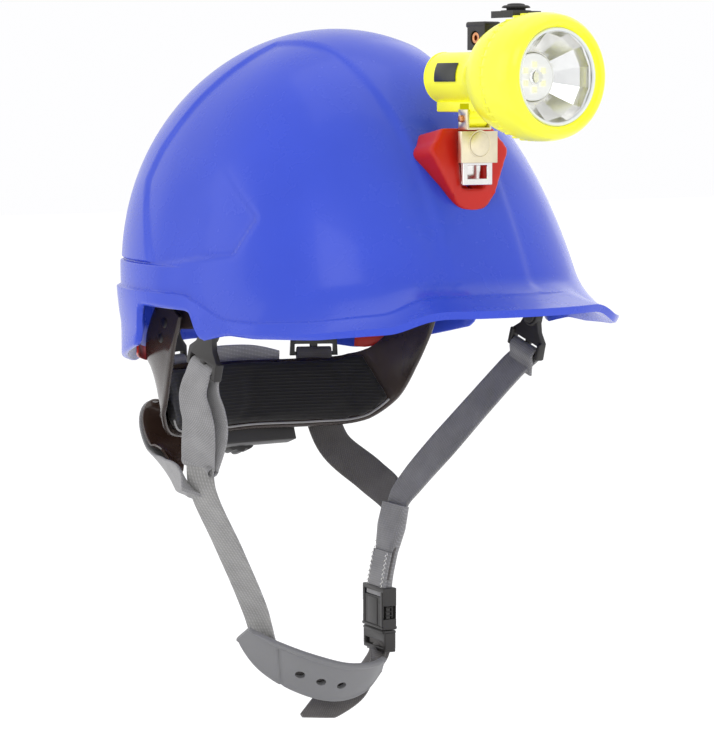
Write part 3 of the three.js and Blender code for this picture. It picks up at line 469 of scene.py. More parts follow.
def moulded_plastic(name, colour, roughness, grain=0.0, grain_size=900, mottle=0.08, coat=0.0, sheen=0.0, gloss=0.5,
                    glow=0.0):
    """Moulded plastic: faint flow marks in its colour, a fine skin and slightly uneven gloss. glow gives off light
    in its own colour; on parts that are no lamp this is painted light.
    """
    material, nodes, links, shader = new_material(name)
    where = coordinates(nodes, links)
    cloud = noise(nodes, links, where, 14, 4)
    darker = tuple(max(c * (1 - mottle), 0) for c in colour)
    lighter = tuple(min(c * (1 + mottle) + 0.002, 1) for c in colour)
    links.new(ramp(nodes, links, cloud, [(0.3, darker), (0.7, lighter)]), shader.inputs["Base Color"])
    smudge = noise(nodes, links, where, 60, 5)
    links.new(spread(nodes, links, smudge, roughness * 0.8, roughness * 1.25), shader.inputs["Roughness"])
    fine = noise(nodes, links, where, grain_size, 2)
    add_bump(nodes, links, shader, fine, 0.25 if grain else 0.06, grain or 0.00002)
    shader.inputs["Specular IOR Level"].default_value = gloss
    shader.inputs["Emission Color"].default_value = (*colour, 1)
    shader.inputs["Emission Strength"].default_value = glow
    shader.inputs["Coat Weight"].default_value = coat
    shader.inputs["Coat Roughness"].default_value = 0.08
    shader.inputs["Sheen Weight"].default_value = sheen
    return material


def plated_metal(name, colour, roughness, streak=(1, 1, 1), stain=0.15):
    """Plated or bare metal with a drawn grain and a little staining."""
    material, nodes, links, shader = new_material(name)
    shader.inputs["Metallic"].default_value = 1.0
    where = coordinates(nodes, links, streak)
    grain = noise(nodes, links, where, 500, 4, 0.7)
    cloud = noise(nodes, links, coordinates(nodes, links), 90, 5, 0.65)
    darker = tuple(c * (1 - stain) for c in colour)
    links.new(ramp(nodes, links, cloud, [(0.3, darker), (0.65, colour)]), shader.inputs["Base Color"])
    links.new(spread(nodes, links, grain, roughness * 0.7, roughness * 1.4), shader.inputs["Roughness"])
    add_bump(nodes, links, shader, grain, 0.12, 0.00003)
    return material


def woven_web(name, dark, light, rib=0.0012, slant=0.6, depth=0.00022):
    """Woven webbing: yarns across and along, with a slanted twill and fuzz between them. Its colour is painted
    darker where the weave is low: painted shade between the yarns.
    """
    material, nodes, links, shader = new_material(name)
    uv = nodes.new("ShaderNodeUVMap")
    parts = nodes.new("ShaderNodeSeparateXYZ")
    links.new(uv.outputs["UV"], parts.inputs["Vector"])
    across, along = parts.outputs["X"], parts.outputs["Y"]
    turn = 2 * math.pi
    rib_wave = sums(nodes, links, "SINE", sums(nodes, links, "MULTIPLY", along, turn / rib), 0)
    lean = sums(nodes, links, "ADD", sums(nodes, links, "MULTIPLY", along, turn * slant / rib),
                sums(nodes, links, "MULTIPLY", across, turn / (rib * 1.1)))
    twill = sums(nodes, links, "SINE", lean, 0)
    weave = sums(nodes, links, "ADD", sums(nodes, links, "MULTIPLY", rib_wave, 0.5), twill)
    fuzz = noise(nodes, links, coordinates(nodes, links), 1500, 3, 0.7)
    height = sums(nodes, links, "ADD", spread(nodes, links, sums(nodes, links, "MULTIPLY", weave, 0.33), 0, 1),
                  sums(nodes, links, "MULTIPLY", fuzz, 0.5))
    cloud = noise(nodes, links, coordinates(nodes, links), 70, 4)
    # Painted shade: darker where the weave and fuzz are low, between the yarns; the cloud adds random tone.
    shade = sums(nodes, links, "ADD", sums(nodes, links, "MULTIPLY", height, 0.55),
                 sums(nodes, links, "MULTIPLY", cloud, 0.5))
    links.new(ramp(nodes, links, shade, [(0.15, dark), (0.85, light)]), shader.inputs["Base Color"])
    shader.inputs["Roughness"].default_value = 0.9
    shader.inputs["Sheen Weight"].default_value = 0.25
    shader.inputs["Sheen Roughness"].default_value = 0.5
    add_bump(nodes, links, shader, height, 0.7, depth)
    return material


def ribbed_foam(name, colour, rib=0.0018, direction="Z"):
    """Soft foam skin with fine ribs across it. The furrows are painted darker than the rib crests: painted shade in
    the furrows.
    """
    material, nodes, links, shader = new_material(name)
    where = coordinates(nodes, links)
    parts = nodes.new("ShaderNodeSeparateXYZ")
    links.new(where, parts.inputs["Vector"])
    phase = sums(nodes, links, "MULTIPLY", parts.outputs[direction], 2 * math.pi / rib)
    wave = sums(nodes, links, "SINE", phase, 0)
    fine = noise(nodes, links, where, 1300, 3, 0.65)
    height = sums(nodes, links, "ADD", spread(nodes, links, wave, 0, 0.7),
                  sums(nodes, links, "MULTIPLY", fine, 0.6))
    # Painted shade: the colour runs from the base colour in the furrows to a lighter one on the rib crests.
    lighter = tuple(c * 1.5 + 0.002 for c in colour)
    links.new(ramp(nodes, links, height, [(0.2, colour), (0.95, lighter)]), shader.inputs["Base Color"])
    links.new(spread(nodes, links, fine, 0.7, 0.95), shader.inputs["Roughness"])
    shader.inputs["Sheen Weight"].default_value = 0.15
    add_bump(nodes, links, shader, height, 0.6, 0.0003)
    return material


def clear_plastic(name, tint, roughness):
    material, nodes, links, shader = new_material(name)
    shader.inputs["Transmission Weight"].default_value = 1.0
    shader.inputs["IOR"].default_value = 1.45
    where = coordinates(nodes, links)
    haze = noise(nodes, links, where, 220, 4)
    duller = tuple(c * 0.97 for c in tint)
    links.new(ramp(nodes, links, haze, [(0.3, duller), (0.7, tint)]), shader.inputs["Base Color"])
    links.new(spread(nodes, links, haze, roughness * 0.6, roughness * 1.5), shader.inputs["Roughness"])
    return material


def smoked_plastic(name, colour, roughness, through=0.35):
    """Thin translucent plastic with a cloudy tint."""
    material, nodes, links, shader = new_material(name)
    where = coordinates(nodes, links)
    cloud = noise(nodes, links, where, 30, 4)
    lighter = tuple(min(c * 1.6 + 0.01, 1) for c in colour)
    links.new(ramp(nodes, links, cloud, [(0.3, colour), (0.75, lighter)]), shader.inputs["Base Color"])
    links.new(spread(nodes, links, cloud, roughness * 0.8, roughness * 1.3), shader.inputs["Roughness"])
    shader.inputs["Transmission Weight"].default_value = through
    shader.inputs["IOR"].default_value = 1.46
    add_bump(nodes, links, shader, noise(nodes, links, where, 700, 2), 0.08, 0.00003)
    return material


# ---- The set of finishes --------------------------------------------------------------------

FINISH = {}


def add_finish(name, maker, *values, **named):
    FINISH[name] = maker(name, *values, **named)


add_finish("blue_shell", moulded_plastic, (0.028, 0.066, 0.565), 0.26, mottle=0.05, coat=0.12, gloss=0.3)
add_finish("red_bracket", moulded_plastic, (0.53, 0.012, 0.005), 0.34, mottle=0.1, coat=0.1, gloss=0.3)
# The lamp body's glow is painted light: the yellow housing gives off no light of its own.
add_finish("yellow_body", moulded_plastic, (0.97, 0.96, 0.030), 0.3, mottle=0.03, coat=0.2, glow=0.10)
add_finish("black_mould", moulded_plastic, (0.018, 0.016, 0.015), 0.42, grain=0.00005, mottle=0.25)
add_finish("soft_rubber", moulded_plastic, (0.012, 0.011, 0.010), 0.75, grain=0.00006, sheen=0.1)
add_finish("cup_rubber", moulded_plastic, (0.18, 0.18, 0.185), 0.55, grain=0.00005, mottle=0.1, sheen=0.1)
add_finish("zinc_plate", plated_metal, (0.80, 0.72, 0.53), 0.34, (1, 1, 14), 0.15)
add_finish("bright_steel", plated_metal, (0.80, 0.79, 0.77), 0.18, (1, 1, 10), 0.1)
add_finish("copper_plate", plated_metal, (0.72, 0.33, 0.16), 0.25)
add_finish("plain_alloy", plated_metal, (0.62, 0.63, 0.65), 0.35)
add_finish("mirror_coat", plated_metal, (0.93, 0.92, 0.88), 0.16, stain=0.04)
add_finish("clear_lens", clear_plastic, (0.97, 0.98, 1.0), 0.02)
add_finish("grey_web", woven_web, (0.13, 0.128, 0.130), (0.37, 0.365, 0.37))
add_finish("ribbed_web", woven_web, (0.15, 0.148, 0.146), (0.40, 0.395, 0.385), rib=0.0019, slant=0.2)
# Grey webbing darkened; on the far rear strap this darkening is painted shade.
add_finish("dark_web", woven_web, (0.055, 0.050, 0.048), (0.17, 0.16, 0.155))
add_finish("pale_web", woven_web, (0.32, 0.315, 0.31), (0.70, 0.69, 0.67), rib=0.0019, slant=0.2)
add_finish("brown_band", smoked_plastic, (0.030, 0.018, 0.014), 0.28, 0.2)
add_finish("smoked_band", smoked_plastic, (0.050, 0.037, 0.032), 0.2, 0.3)
# Dark glossy plastic for the rear leaf; its darkness is painted shade on the right rear web.
add_finish("leaf_plastic", moulded_plastic, (0.040, 0.022, 0.016), 0.2, mottle=0.2, coat=0.4)
add_finish("milky_rim", moulded_plastic, (0.72, 0.75, 0.78), 0.22, mottle=0.03, coat=0.3)
add_finish("amber_band", smoked_plastic, (0.20, 0.10, 0.045), 0.22, 0.45)
add_finish("foam_skin", ribbed_foam, (0.008, 0.007, 0.0065))
# The emitter board's glow is painted light: the board itself gives off no light.
add_finish("white_board", moulded_plastic, (0.90, 0.90, 0.86), 0.4, grain=0.00002, mottle=0.02, glow=0.45)
add_finish("green_board", moulded_plastic, (0.03, 0.12, 0.05), 0.4, grain=0.00003, mottle=0.2)
add_finish("label_film", moulded_plastic, (0.022, 0.024, 0.020), 0.3, mottle=0.1)
add_finish("phosphor", moulded_plastic, (0.97, 0.93, 0.60), 0.4, grain=0.00002, glow=0.5)
add_finish("white_thread", moulded_plastic, (0.78, 0.77, 0.74), 0.8, grain=0.00005)
add_finish("grey_piping", moulded_plastic, (0.30, 0.295, 0.29), 0.7, grain=0.00008, sheen=0.2)


# ---- Shell ----------------------------------------------------------------------------------

HALF_WIDTH = 0.108
HALF_LENGTH = 0.126
HEIGHT = 0.1514
KNEE = 0.030
SHELL_WALL = 0.003
CROWN_Y = 0.0265
RIDGE_HEIGHT = 0.0015
CREASE_HEIGHT = 0.0012
LOWER_BAND_HEIGHT = 0.0021
LOWER_BAND_TOP = 0.0335
REAR_TAB_HEIGHT = 0.0034
SIDE_PANEL_DEPTH = 0.0024
STRIP_WIDTH = 0.0058
PLAN_POWER = 2 / 2.3
PROFILE_POWER = 2.02
RIM_LINE = [
    (-0.95, 16), (-0.89, 9), (-0.71, 5), (-0.47, 3), (-0.34, 3.5), (-0.24, 1), (-0.17, -1), (-0.14, 12),
    (-0.10, 14), (0.24, 14), (0.28, 9), (0.32, -7), (0.81, -22), (0.91, -19), (0.98, -14),
]
RIDGE_SIDE = [(0.030, 0.036), (0.0575, 0.053), (0.0745, 0.063), (0.091, 0.059), (0.116, 0.047), (0.144, 0.030)]
GUTTER_TOP = [(-0.050, 0.0075), (-0.036, 0.0085), (-0.022, 0.012), (-0.010, 0.0165), (0.004, 0.020), (0.14, 0.020)]
RIDGE_TOP = [(-0.075, 0.0235), (-0.057, 0.0245), (-0.035, 0.027), (-0.015, 0.028), (0.035, 0.035), (0.06, 0.05)]


def power(value, exponent):
    return math.copysign(abs(value) ** exponent, value)


def read_table(table, value):
    if value <= table[0][0]:
        return table[0][1]
    for (low, a), (high, b) in zip(table, table[1:]):
        if value <= high:
            return a + (b - a) * (value - low) / (high - low)
    return table[-1][1]


def ease(value):
    value = min(max(value, 0.0), 1.0)
    return value * value * (3 - 2 * value)


def rim_height(share, soften_by=0.014):
    total = 0.0
    for k in (-2, -1, 0, 1, 2):
        total += read_table(RIM_LINE, share + k * soften_by / 2)
    return total / 5 / 1000


def shell_point(angle, z, flare_all=True):
    """The smooth outer surface of the shell."""
    share = min(max(z / HEIGHT, 0), 1)
    shrink = (1 - share ** PROFILE_POWER) ** (1 / PROFILE_POWER)
    across = power(math.cos(angle), PLAN_POWER)
    along = power(math.sin(angle), PLAN_POWER)
    rim = rim_height(along)
    drop = max((KNEE - z) / (KNEE - rim), 0)
    ahead = max(-math.sin(angle), 0)
    flare = 0.024 * ahead ** 2.4
    flare += 0.004 if flare_all else 0.004 * ease(ahead * 2)
    flare *= drop ** 2.2
    x = HALF_WIDTH * shrink * across
    y = HALF_LENGTH * shrink * along
    reach = math.hypot(x, y) or 1
    grow = 1 + flare / reach
    lean = 0.0065 + 0.055 * share - 0.035 * share ** 2
    return Vector((x * grow, lean + y * grow, z))


def shell_normal(angle, z, flare_all=True):
    around = shell_point(angle + 0.01, z, flare_all) - shell_point(angle - 0.01, z, flare_all)
    upward = shell_point(angle, z + 0.0003, flare_all) - shell_point(angle, z - 0.0003, flare_all)
    return around.cross(upward).normalized()


def edge_strip_top(y, rim):
    """Top of the raised lip along the rim: the rain gutter behind, a narrow strip in front."""
    strip = rim + STRIP_WIDTH
    return strip if y < GUTTER_TOP[0][0] else max(read_table(GUTTER_TOP, y), strip)


def panel_depth(x, y, z):
    """The sunken panel on each side, deepest at its front point and fading rearwards."""
    if abs(x) < 0.05:
        return 0.0
    upper = (z - 0.060) * 0.80 - (y + 0.038) * 0.59
    front_low = (y + 0.038) * 0.925 + (z - 0.060) * 0.38
    floor = (z - 0.0345) + 0.12 * (y - 0.013)
    inside = min(-upper, front_low, floor)
    fade = 1 - ease(y / 0.042)
    fade *= 1 - ease((z - 0.062) / 0.026)
    return SIDE_PANEL_DEPTH * ease(inside / 0.0035) * fade


def shell_relief(p):
    """How far the outer face stands out of the smooth surface at a point."""
    x, y, z = abs(p.x), p.y, p.z
    side = ease((y - read_table(RIDGE_SIDE, z)) / 0.0045 + 0.5)
    top = ease((read_table(RIDGE_TOP, y) - x) / 0.0045 + 0.5) * ease((z - 0.075) / 0.02)
    height = RIDGE_HEIGHT * max(side, top) * ease((z - LOWER_BAND_TOP) / 0.0012)
    front_crease = ease((0.0235 - x) / 0.006 + 0.5) * ease((-0.055 - y) / 0.02) * ease((z - 0.012) / 0.02)
    height = max(height, CREASE_HEIGHT * front_crease)
    band = ease((LOWER_BAND_TOP - z) / 0.0012) * ease(y / 0.03)
    height = max(height, LOWER_BAND_HEIGHT * band)
    tab = ease((0.017 - x) / 0.004) * ease((y - 0.08) / 0.01)
    tab *= ease((0.059 - z) / 0.004) * ease((z - 0.030) / 0.001)
    return max(height, REAR_TAB_HEIGHT * tab) - panel_depth(p.x, y, z)


def outer_face(angle, z):
    p = shell_point(angle, z, False)
    rim = rim_height(power(math.sin(angle), PLAN_POWER))
    lip_top = edge_strip_top(p.y, rim)
    lip = ease((lip_top - z) / 0.0014 + 0.4)
    ahead = max(-math.sin(angle), 0)
    lip_out = 0.0012 + 0.0032 * ease((p.y + 0.02) / 0.06)
    lip_out *= 1 - 0.35 * ease(ahead * 1.2)
    out = shell_relief(p) * (1 - lip) + lip * lip_out
    return p + shell_normal(angle, z, False) * out


def shell_columns(count=300):
    angles = [2 * math.pi * i / count - math.pi / 2 for i in range(count)]
    for share in (-0.17, -0.155, -0.14, -0.12, 0.25, 0.27, 0.29, 0.31):
        angle = math.asin(power(share, 1 / PLAN_POWER))
        angles += [angle, math.pi - angle]
    return sorted(angles)


def outer_heights(angle):
    knee = math.acos(0.0365 / HEIGHT)
    heights = [HEIGHT * math.cos(knee * i / 96) for i in range(97)]
    heights += [0.0355, 0.0347, 0.0341, 0.0337, 0.0333, 0.0329, 0.0325, 0.0320]
    rim = rim_height(power(math.sin(angle), PLAN_POWER))
    top = edge_strip_top(shell_point(angle, 0.01, False).y, rim)
    heights += [0.032 + (top + 0.0022 - 0.032) * i / 5 for i in (1, 2, 3, 4, 5)]
    heights += [top + d for d in (0.0014, 0.0009, 0.0005, 0.0001, -0.0003, -0.0007, -0.0012)]
    heights += [top - 0.0012 + (rim - top + 0.0012) * i / 6 for i in range(1, 7)]
    return heights


def helmet_shell():
    angles = shell_columns()
    grid = []
    for angle in angles:
        heights = outer_heights(angle)
        line = [outer_face(angle, z) for z in heights]
        rim = heights[-1]
        face = outer_face(angle, rim)
        inner = [shell_point(angle, z) - shell_normal(angle, z) * SHELL_WALL
                 for z in [rim + (KNEE - rim) * (i / 6) for i in range(7)]]
        line += [face.lerp(inner[0], share) - Vector((0, 0, drop))
                 for share, drop in ((0.12, 0.0005), (0.5, 0.0008), (0.88, 0.0005))]
        line += inner
        knee = math.acos(KNEE / HEIGHT)
        for i in range(25, -1, -1):
            z = HEIGHT * math.cos(knee * i / 26)
            line.append(shell_point(angle, z) - shell_normal(angle, max(min(z, HEIGHT - 0.0004), 0)) * SHELL_WALL)
        line[0] = Vector((0, CROWN_Y, HEIGHT + RIDGE_HEIGHT))
        line[-1] = Vector((0, CROWN_Y, HEIGHT - SHELL_WALL))
        grid.append(line)
    columns = len(angles)
    rows = len(grid[0]) - 1
    obj = shaped_sheet(columns, rows, lambda c, r: grid[c % columns][r])
    finish_piece(smooth(obj, 50), "helmet_shell", "blue_shell", "root", ["shell"])


# ---- Lamp: everything is measured forwards from its rear end ---------------------------------

LAMP_REAR = Vector((0, -0.066, 0.127))
FORWARD = Vector((0, -1, 0))
HINGE = (0, -0.093, 0.107)
FACETS = 14
CHIPS_ROUND = 6
GRIPS = 40


def on_lamp(profile, body, name, material, nodes=(), corner=0.0004, angle=30):
    piece = turned(rounded(millimetres(profile), corner), LAMP_REAR, FORWARD)
    return finish_piece(smooth(piece, angle), name, material, body, nodes)


def lamp_body():
    """Barrel, flare and head in one moulding, with the hinge tab and the block under the barrel."""
    body = turned(rounded(millimetres([
        (0, 0), (9.8, 0), (12.5, 2.4), (12.5, 31), (13.2, 36), (15.6, 41), (20.6, 47.5), (25.0, 53.5),
        (27.4, 60), (28.6, 66), (29.0, 70.15), (27.2, 70.15), (27.2, 86), (24.6, 86), (24.6, 58),
        (9.9, 53), (9.9, 3), (0, 3)]), 0.0022, steps=5), LAMP_REAR, FORWARD)
    under = soften(block((0.0115, 0.032, 0.0054), (0, -0.086, 0.1129)), 0.0008, 3)
    tab = soften(block((0.0115, 0.0084, 0.0076), (0, -0.093, 0.1112)), 0.0006, 2)
    eye = turned(rounded([(0.00195, -0.00575), (0.0042, -0.00575), (0.0042, 0.00575), (0.00195, 0.00575)], 0.0005),
                 HINGE, SIDEWAYS, 48)
    bore = turned([(0, -0.01), (0.00195, -0.01), (0.00195, 0.01), (0, 0.01)], HINGE, SIDEWAYS, 48)
    tab = carve(tab, bore)
    seam = on_lamp_ring(12.35, 12.72, 2.8, 3.6)
    for part in (under, tab, eye):
        tidy(part)
    piece = smooth(join(body, under, tab, eye, seam), 35)
    finish_piece(piece, "lamp_body", "yellow_body", "lamp", ["lamp_housing"])


def on_lamp_ring(inner, outer, start, end, corner=0.2):
    outline = millimetres([(inner, start), (outer, start), (outer, end), (inner, end)])
    return turned(rounded(outline, corner / 1000), LAMP_REAR, FORWARD)


def lamp_bezel():
    ring = turned(rounded(millimetres([
        (27.6, 70.4), (29.2, 70.4), (30.2, 73), (30.5, 78), (30.3, 86), (29.2, 91.5), (27.0, 94.3), (25.6, 95.0),
        (24.7, 94.4), (24.0, 92.4), (23.3, 91.4), (23.3, 91.05), (27.6, 91.05)]), 0.0018, steps=4),
        LAMP_REAR, FORWARD)
    to_axis = Matrix.Translation((0, 0, LAMP_REAR.z))
    grips = []
    for i in range(GRIPS):
        grip = soften(block((0.0012, 0.0095, 0.0007), (0, -0.1405, 0.157)), 0.0002, 1)
        grip.data.transform(to_axis @ Matrix.Rotation(2 * math.pi * i / GRIPS, 4, "Y") @ to_axis.inverted())
        grips.append(grip)
    piece = smooth(join(ring, *grips), 35)
    finish_piece(piece, "lamp_bezel", "yellow_body", "bezel", ["bezel_ring"])


def lamp_optics():
    lens = [(0, 88.2), (24.9, 88.2), (24.9, 90.5), (23.2, 90.5), (22.4, 90.9), (21.4, 90.6), (0, 90.6)]
    on_lamp(lens, "bezel", "front_lens", "clear_lens", ["lens"], 0.0004, 40)
    rim = [(21.4, 90.7), (23.2, 90.7), (23.2, 91.6), (22.8, 92.2), (21.9, 92.2), (21.4, 91.6)]
    on_lamp(rim, "bezel", "lens_rim", "milky_rim", (), 0.0004, 40)
    on_lamp([(24.9, 86.4), (26.8, 86.4), (26.8, 87.7), (24.9, 87.7)], "bezel", "lens_seal", "soft_rubber",
            ["lens_gasket"], 0.0004)
    faceted_reflector()
    on_lamp([(0, 72.5), (10.9, 72.5), (10.9, 73.9), (0, 73.9)], "lamp", "emitter_board", "white_board",
            ["led_board"], 0.0003)
    chips = []
    for i in range(CHIPS_ROUND + 1):
        angle = 2 * math.pi * i / CHIPS_ROUND
        reach = 0.0058 if i < CHIPS_ROUND else 0.0
        middle = LAMP_REAR + Vector((math.sin(angle) * reach, -0.0743, math.cos(angle) * reach))
        chips.append(soften(block((0.0028, 0.0008, 0.0028), middle), 0.0003, 2))
    chips = smooth(join(*chips), 35)
    finish_piece(chips, "emitter_chips", "phosphor", "lamp")
    on_lamp([(0, 74.9), (3.4, 74.9), (3.4, 75.6), (2.9, 76.7), (1.7, 77.5), (0, 77.8)], "lamp", "emitter_dome",
            "clear_lens", ["led_dome"], 0.0006, 40)


def faceted_reflector():
    """A bright dish of flat facets round the emitter."""
    rings = [(11.4, 72.9), (14.2, 75.6), (17.4, 78.8), (20.6, 82.4), (23.0, 86.4), (24.0, 87.4)]
    back = [(23.9, 87.0), (22.6, 84.6), (20.0, 80.8), (16.8, 77.2), (13.6, 74.2), (11.5, 72.4)]
    dish = turned(millimetres(rings + back), LAMP_REAR, FORWARD, FACETS * 4)
    for vertex in dish.data.vertices:
        rel = vertex.co - LAMP_REAR
        radius = math.hypot(rel.x, rel.z)
        if radius < 0.0125 or radius > 0.0235:
            continue
        angle = math.atan2(rel.x, rel.z)
        local = (angle * FACETS / (2 * math.pi)) % 1 - 0.5
        turn = 2 * math.pi / FACETS
        flat = math.cos(turn / 2) / math.cos(local * turn)
        vertex.co.x = LAMP_REAR.x + rel.x * flat
        vertex.co.z = LAMP_REAR.z + rel.z * flat
    finish_piece(smooth(dish, 8), "faceted_reflector", "mirror_coat", "lamp",
                 ["reflector"])


def lamp_inner_pieces():
    cell = [(0, 5.1), (9.1, 5.1), (9.1, 51.9), (3, 51.9), (3, 52.9), (0, 52.9)]
    on_lamp(cell, "lamp", "power_cell", "plain_alloy", ["battery_cell"], 0.0006)
    on_lamp([(0, 3.35), (6.9, 3.35), (6.9, 3.85), (4, 4.6), (0, 4.6)], "lamp", "cell_contact", "copper_plate",
            ["battery_spring"], 0.0002)
    on_lamp([(0, 58.5), (23.8, 58.5), (23.8, 60), (0, 60)], "lamp", "driver_disc", "green_board",
            ["driver_board"], 0.0002)
    spreader = [(0, 62.1), (23.8, 62.1), (23.8, 64.9), (19, 64.9), (19, 66), (15, 66), (15, 64.9), (10, 64.9),
                (10, 72), (0, 72)]
    on_lamp(spreader, "lamp", "heat_spreader", "plain_alloy", ["heat_sink"], 0.0003)


def lamp_label():
    """A plain dark plate on the barrel's side, framed and without lettering."""
    film = worked_copy("label_plate", 0.00012, 2)
    finish_piece(film, "barrel_label", "label_film", "lamp", ["label_plate"])


def lamp_switch():
    base = worked_copy("switch_base", 0.0009, 3)
    collar = turned(rounded([(0.0052, 0.0), (0.0078, 0.0), (0.0074, 0.0016), (0.0058, 0.0016)], 0.0004),
                    (0, -0.126, 0.1571), (0, 0, 1), 64)
    finish_piece(smooth(join(base, collar)), "switch_housing", "black_mould", "lamp",
                 ["switch_base"])
    button = turned(rounded([(0, 0.1573), (0.0046, 0.1573), (0.0046, 0.1597), (0.0069, 0.1599), (0.0067, 0.1605),
                             (0.0058, 0.1611), (0.0044, 0.1612), (0.0040, 0.1618), (0.0022, 0.1621), (0, 0.1621)],
                            0.0003), (0, -0.126, 0), (0, 0, 1), 64)
    finish_piece(smooth(button), "switch_cap", "soft_rubber", "switch", ["switch_button"])


def charging_block():
    body = worked_copy("charge_socket", 0.0008, 3)
    hook = soften(block((0.0102, 0.0155, 0.0030), (0, -0.1003, 0.1524)), 0.0011, 3)
    finish_piece(smooth(join(body, hook)), "charging_block", "black_mould", "lamp",
                 ["charge_socket"])
    ring = turned(rounded([(0.0012, -0.0045), (0.0029, -0.0045), (0.0029, 0.0045), (0.0012, 0.0045)], 0.0004),
                  (0, -0.100, 0.146), SIDEWAYS, 48)
    finish_piece(smooth(ring), "charging_ring", "copper_plate", "lamp", ["charge_contact"])


# ---- Bracket and clip -----------------------------------------------------------------------

def bracket():
    """The red bracket: a rounded three-cornered block with a sunk channel for the clip."""
    pad = worked_copy("bracket_pad", 0)
    apply_modifier(pad, "REMESH", mode="VOXEL", voxel_size=0.0008)
    apply_modifier(pad, "SMOOTH", factor=0.5, iterations=26)
    pad = carve(pad, block((0.0022, 0.006, 0.016), (0, -0.0885, 0.071)))
    finish_piece(smooth(pad, 80), "red_bracket", "red_bracket", "root", ["bracket_pad"])


def clip_pieces():
    face = worked_copy("clip_plate", 0.00035, 2, 20)
    ring = turned(rounded([(0.0061, 0), (0.0068, 0), (0.0068, 0.0003), (0.0061, 0.0003)], 0.0001),
                  (0, -0.09795, 0.09475), (0, -1, 0), 64)
    finish_piece(smooth(join(face, ring), 30), "clip_face", "zinc_plate", "clip",
                 ["clip_plate"])
    tongue = soften(worked_copy("clip_tongue", 0), 0.0005, 3, 30)
    finish_piece(smooth(tongue), "clip_tongue_ring", "bright_steel", "clip",
                 ["clip_tongue"])
    leaf = worked_copy("clip_spring", 0.0003, 2)
    finish_piece(leaf, "clip_leaf", "bright_steel", "clip", ["clip_spring"])
    ears = worked_copy("hinge_bracket", 0.0004, 2)
    finish_piece(ears, "hinge_ears", "zinc_plate", "clip", ["hinge_bracket"])
    pin = turned(rounded([(0, -0.0087), (0.0016, -0.0087), (0.0016, 0.0076), (0.0027, 0.0076), (0.0027, 0.0088),
                          (0.0014, 0.0093), (0, 0.0093)], 0.0003), HINGE, SIDEWAYS, 48)
    finish_piece(smooth(pin), "hinge_pin_turned", "copper_plate", "clip", ["hinge_pin"])


# ---- Inside the shell -----------------------------------------------------------------------

UPRIGHT = [(0, 0, 1), (0, 0, 1)]
PAD_START, PAD_END = 0.26, 0.72


def headband_route():
    points = []
    for i in range(23):
        angle = math.radians(38 - 256 * i / 22)
        rear = math.sin(angle) > 0
        reach = 0.054 / math.sin(math.radians(38)) ** 0.8 if rear else 0.092
        wide = 0.12 if angle > 0 or angle < -math.pi else 0.8
        x = power(math.cos(angle), wide) * 0.079
        y = 0.012 + reach * power(math.sin(angle), 0.8)
        rise = (y + 0.080) / 0.146
        points.append(Vector((x, y, 0.024 - 0.011 * rise)))
    return points


def head_band():
    def channel(u, share, side):
        return -0.0004 * ease((0.82 - abs(share)) / 0.06) if side < 0 else 0.0
    band = swept_band(headband_route(), UPRIGHT, 0.032, -0.001, 0.001, 220, relief=channel)
    finish_piece(band, "head_band", "brown_band", "root", ["headband"])


SWELL_MOMENTS = 20


def swollen(obj, voxel, pressure, cap):
    """Fills a pad by simulation, caps how far it swells, and applies the result."""
    start = apply_modifier(obj, "REMESH", mode="VOXEL", voxel_size=voxel, use_smooth_shade=True)
    before = [v.co.copy() for v in start.data.vertices]
    only(start)
    cloth = start.modifiers.new("fill", "CLOTH")
    cloth.settings.use_pressure = True
    cloth.settings.uniform_pressure_force = pressure
    cloth.settings.effector_weights.gravity = 0
    cloth.settings.quality = 6
    scene = bpy.context.scene
    for moment in range(1, SWELL_MOMENTS + 1):
        scene.frame_set(moment)
    bpy.ops.object.modifier_apply(modifier=cloth.name)
    scene.frame_set(1)
    for vertex, old in zip(start.data.vertices, before):
        moved = vertex.co - old
        if moved.length > cap:
            vertex.co = old + moved * (cap / moved.length)
    return apply_modifier(start, "SUBSURF", levels=1, render_levels=1)


def brow_pad():
    pad = swept_band(headband_route(), UPRIGHT, 0.0275, 0.0019, 0.0036, 90, 0.31, 0.69)
    pad = smooth(swollen(pad, 0.0016, 3.0, 0.0006), 60)
    finish_piece(pad, "brow_pad_foam", "foam_skin", "root", ["brow_pad"])


NAPE_HALF = [(0.0825, 0.056, 0.010), (0.0825, 0.064, -0.004), (0.0795, 0.074, -0.020), (0.0725, 0.086, -0.036),
             (0.0615, 0.097, -0.044), (0.0395, 0.107, -0.046)]
NAPE_LEAN = (0, math.sin(math.radians(20)), math.cos(math.radians(20)))
ARM_LEAN = (0, 0.9, 0.5)
NAPE_WIDE = [ARM_LEAN, ARM_LEAN, NAPE_LEAN, NAPE_LEAN, NAPE_LEAN, NAPE_LEAN, NAPE_LEAN, ARM_LEAN, ARM_LEAN]
NAPE_WIDTHS = [(0, 0.022), (0.18, 0.030), (0.32, 0.039), (0.68, 0.039), (0.82, 0.030), (1, 0.022)]


def nape_route():
    right = vectors(NAPE_HALF)
    left = [Vector((-p.x, p.y, p.z)) for p in reversed(right)]
    return right + [Vector((0, 0.115, -0.046))] + left


def nape_width(u):
    return read_table(NAPE_WIDTHS, u)


def nape_band():
    def rim(u, share, side):
        return 0.0004 * ease((abs(share) - 0.86) / 0.05)
    band = swept_band(nape_route(), NAPE_WIDE, nape_width, -0.0009, 0.0009, 240, relief=rim)
    finish_piece(band, "nape_cradle", "smoked_band", "nape", ["nape_band"])


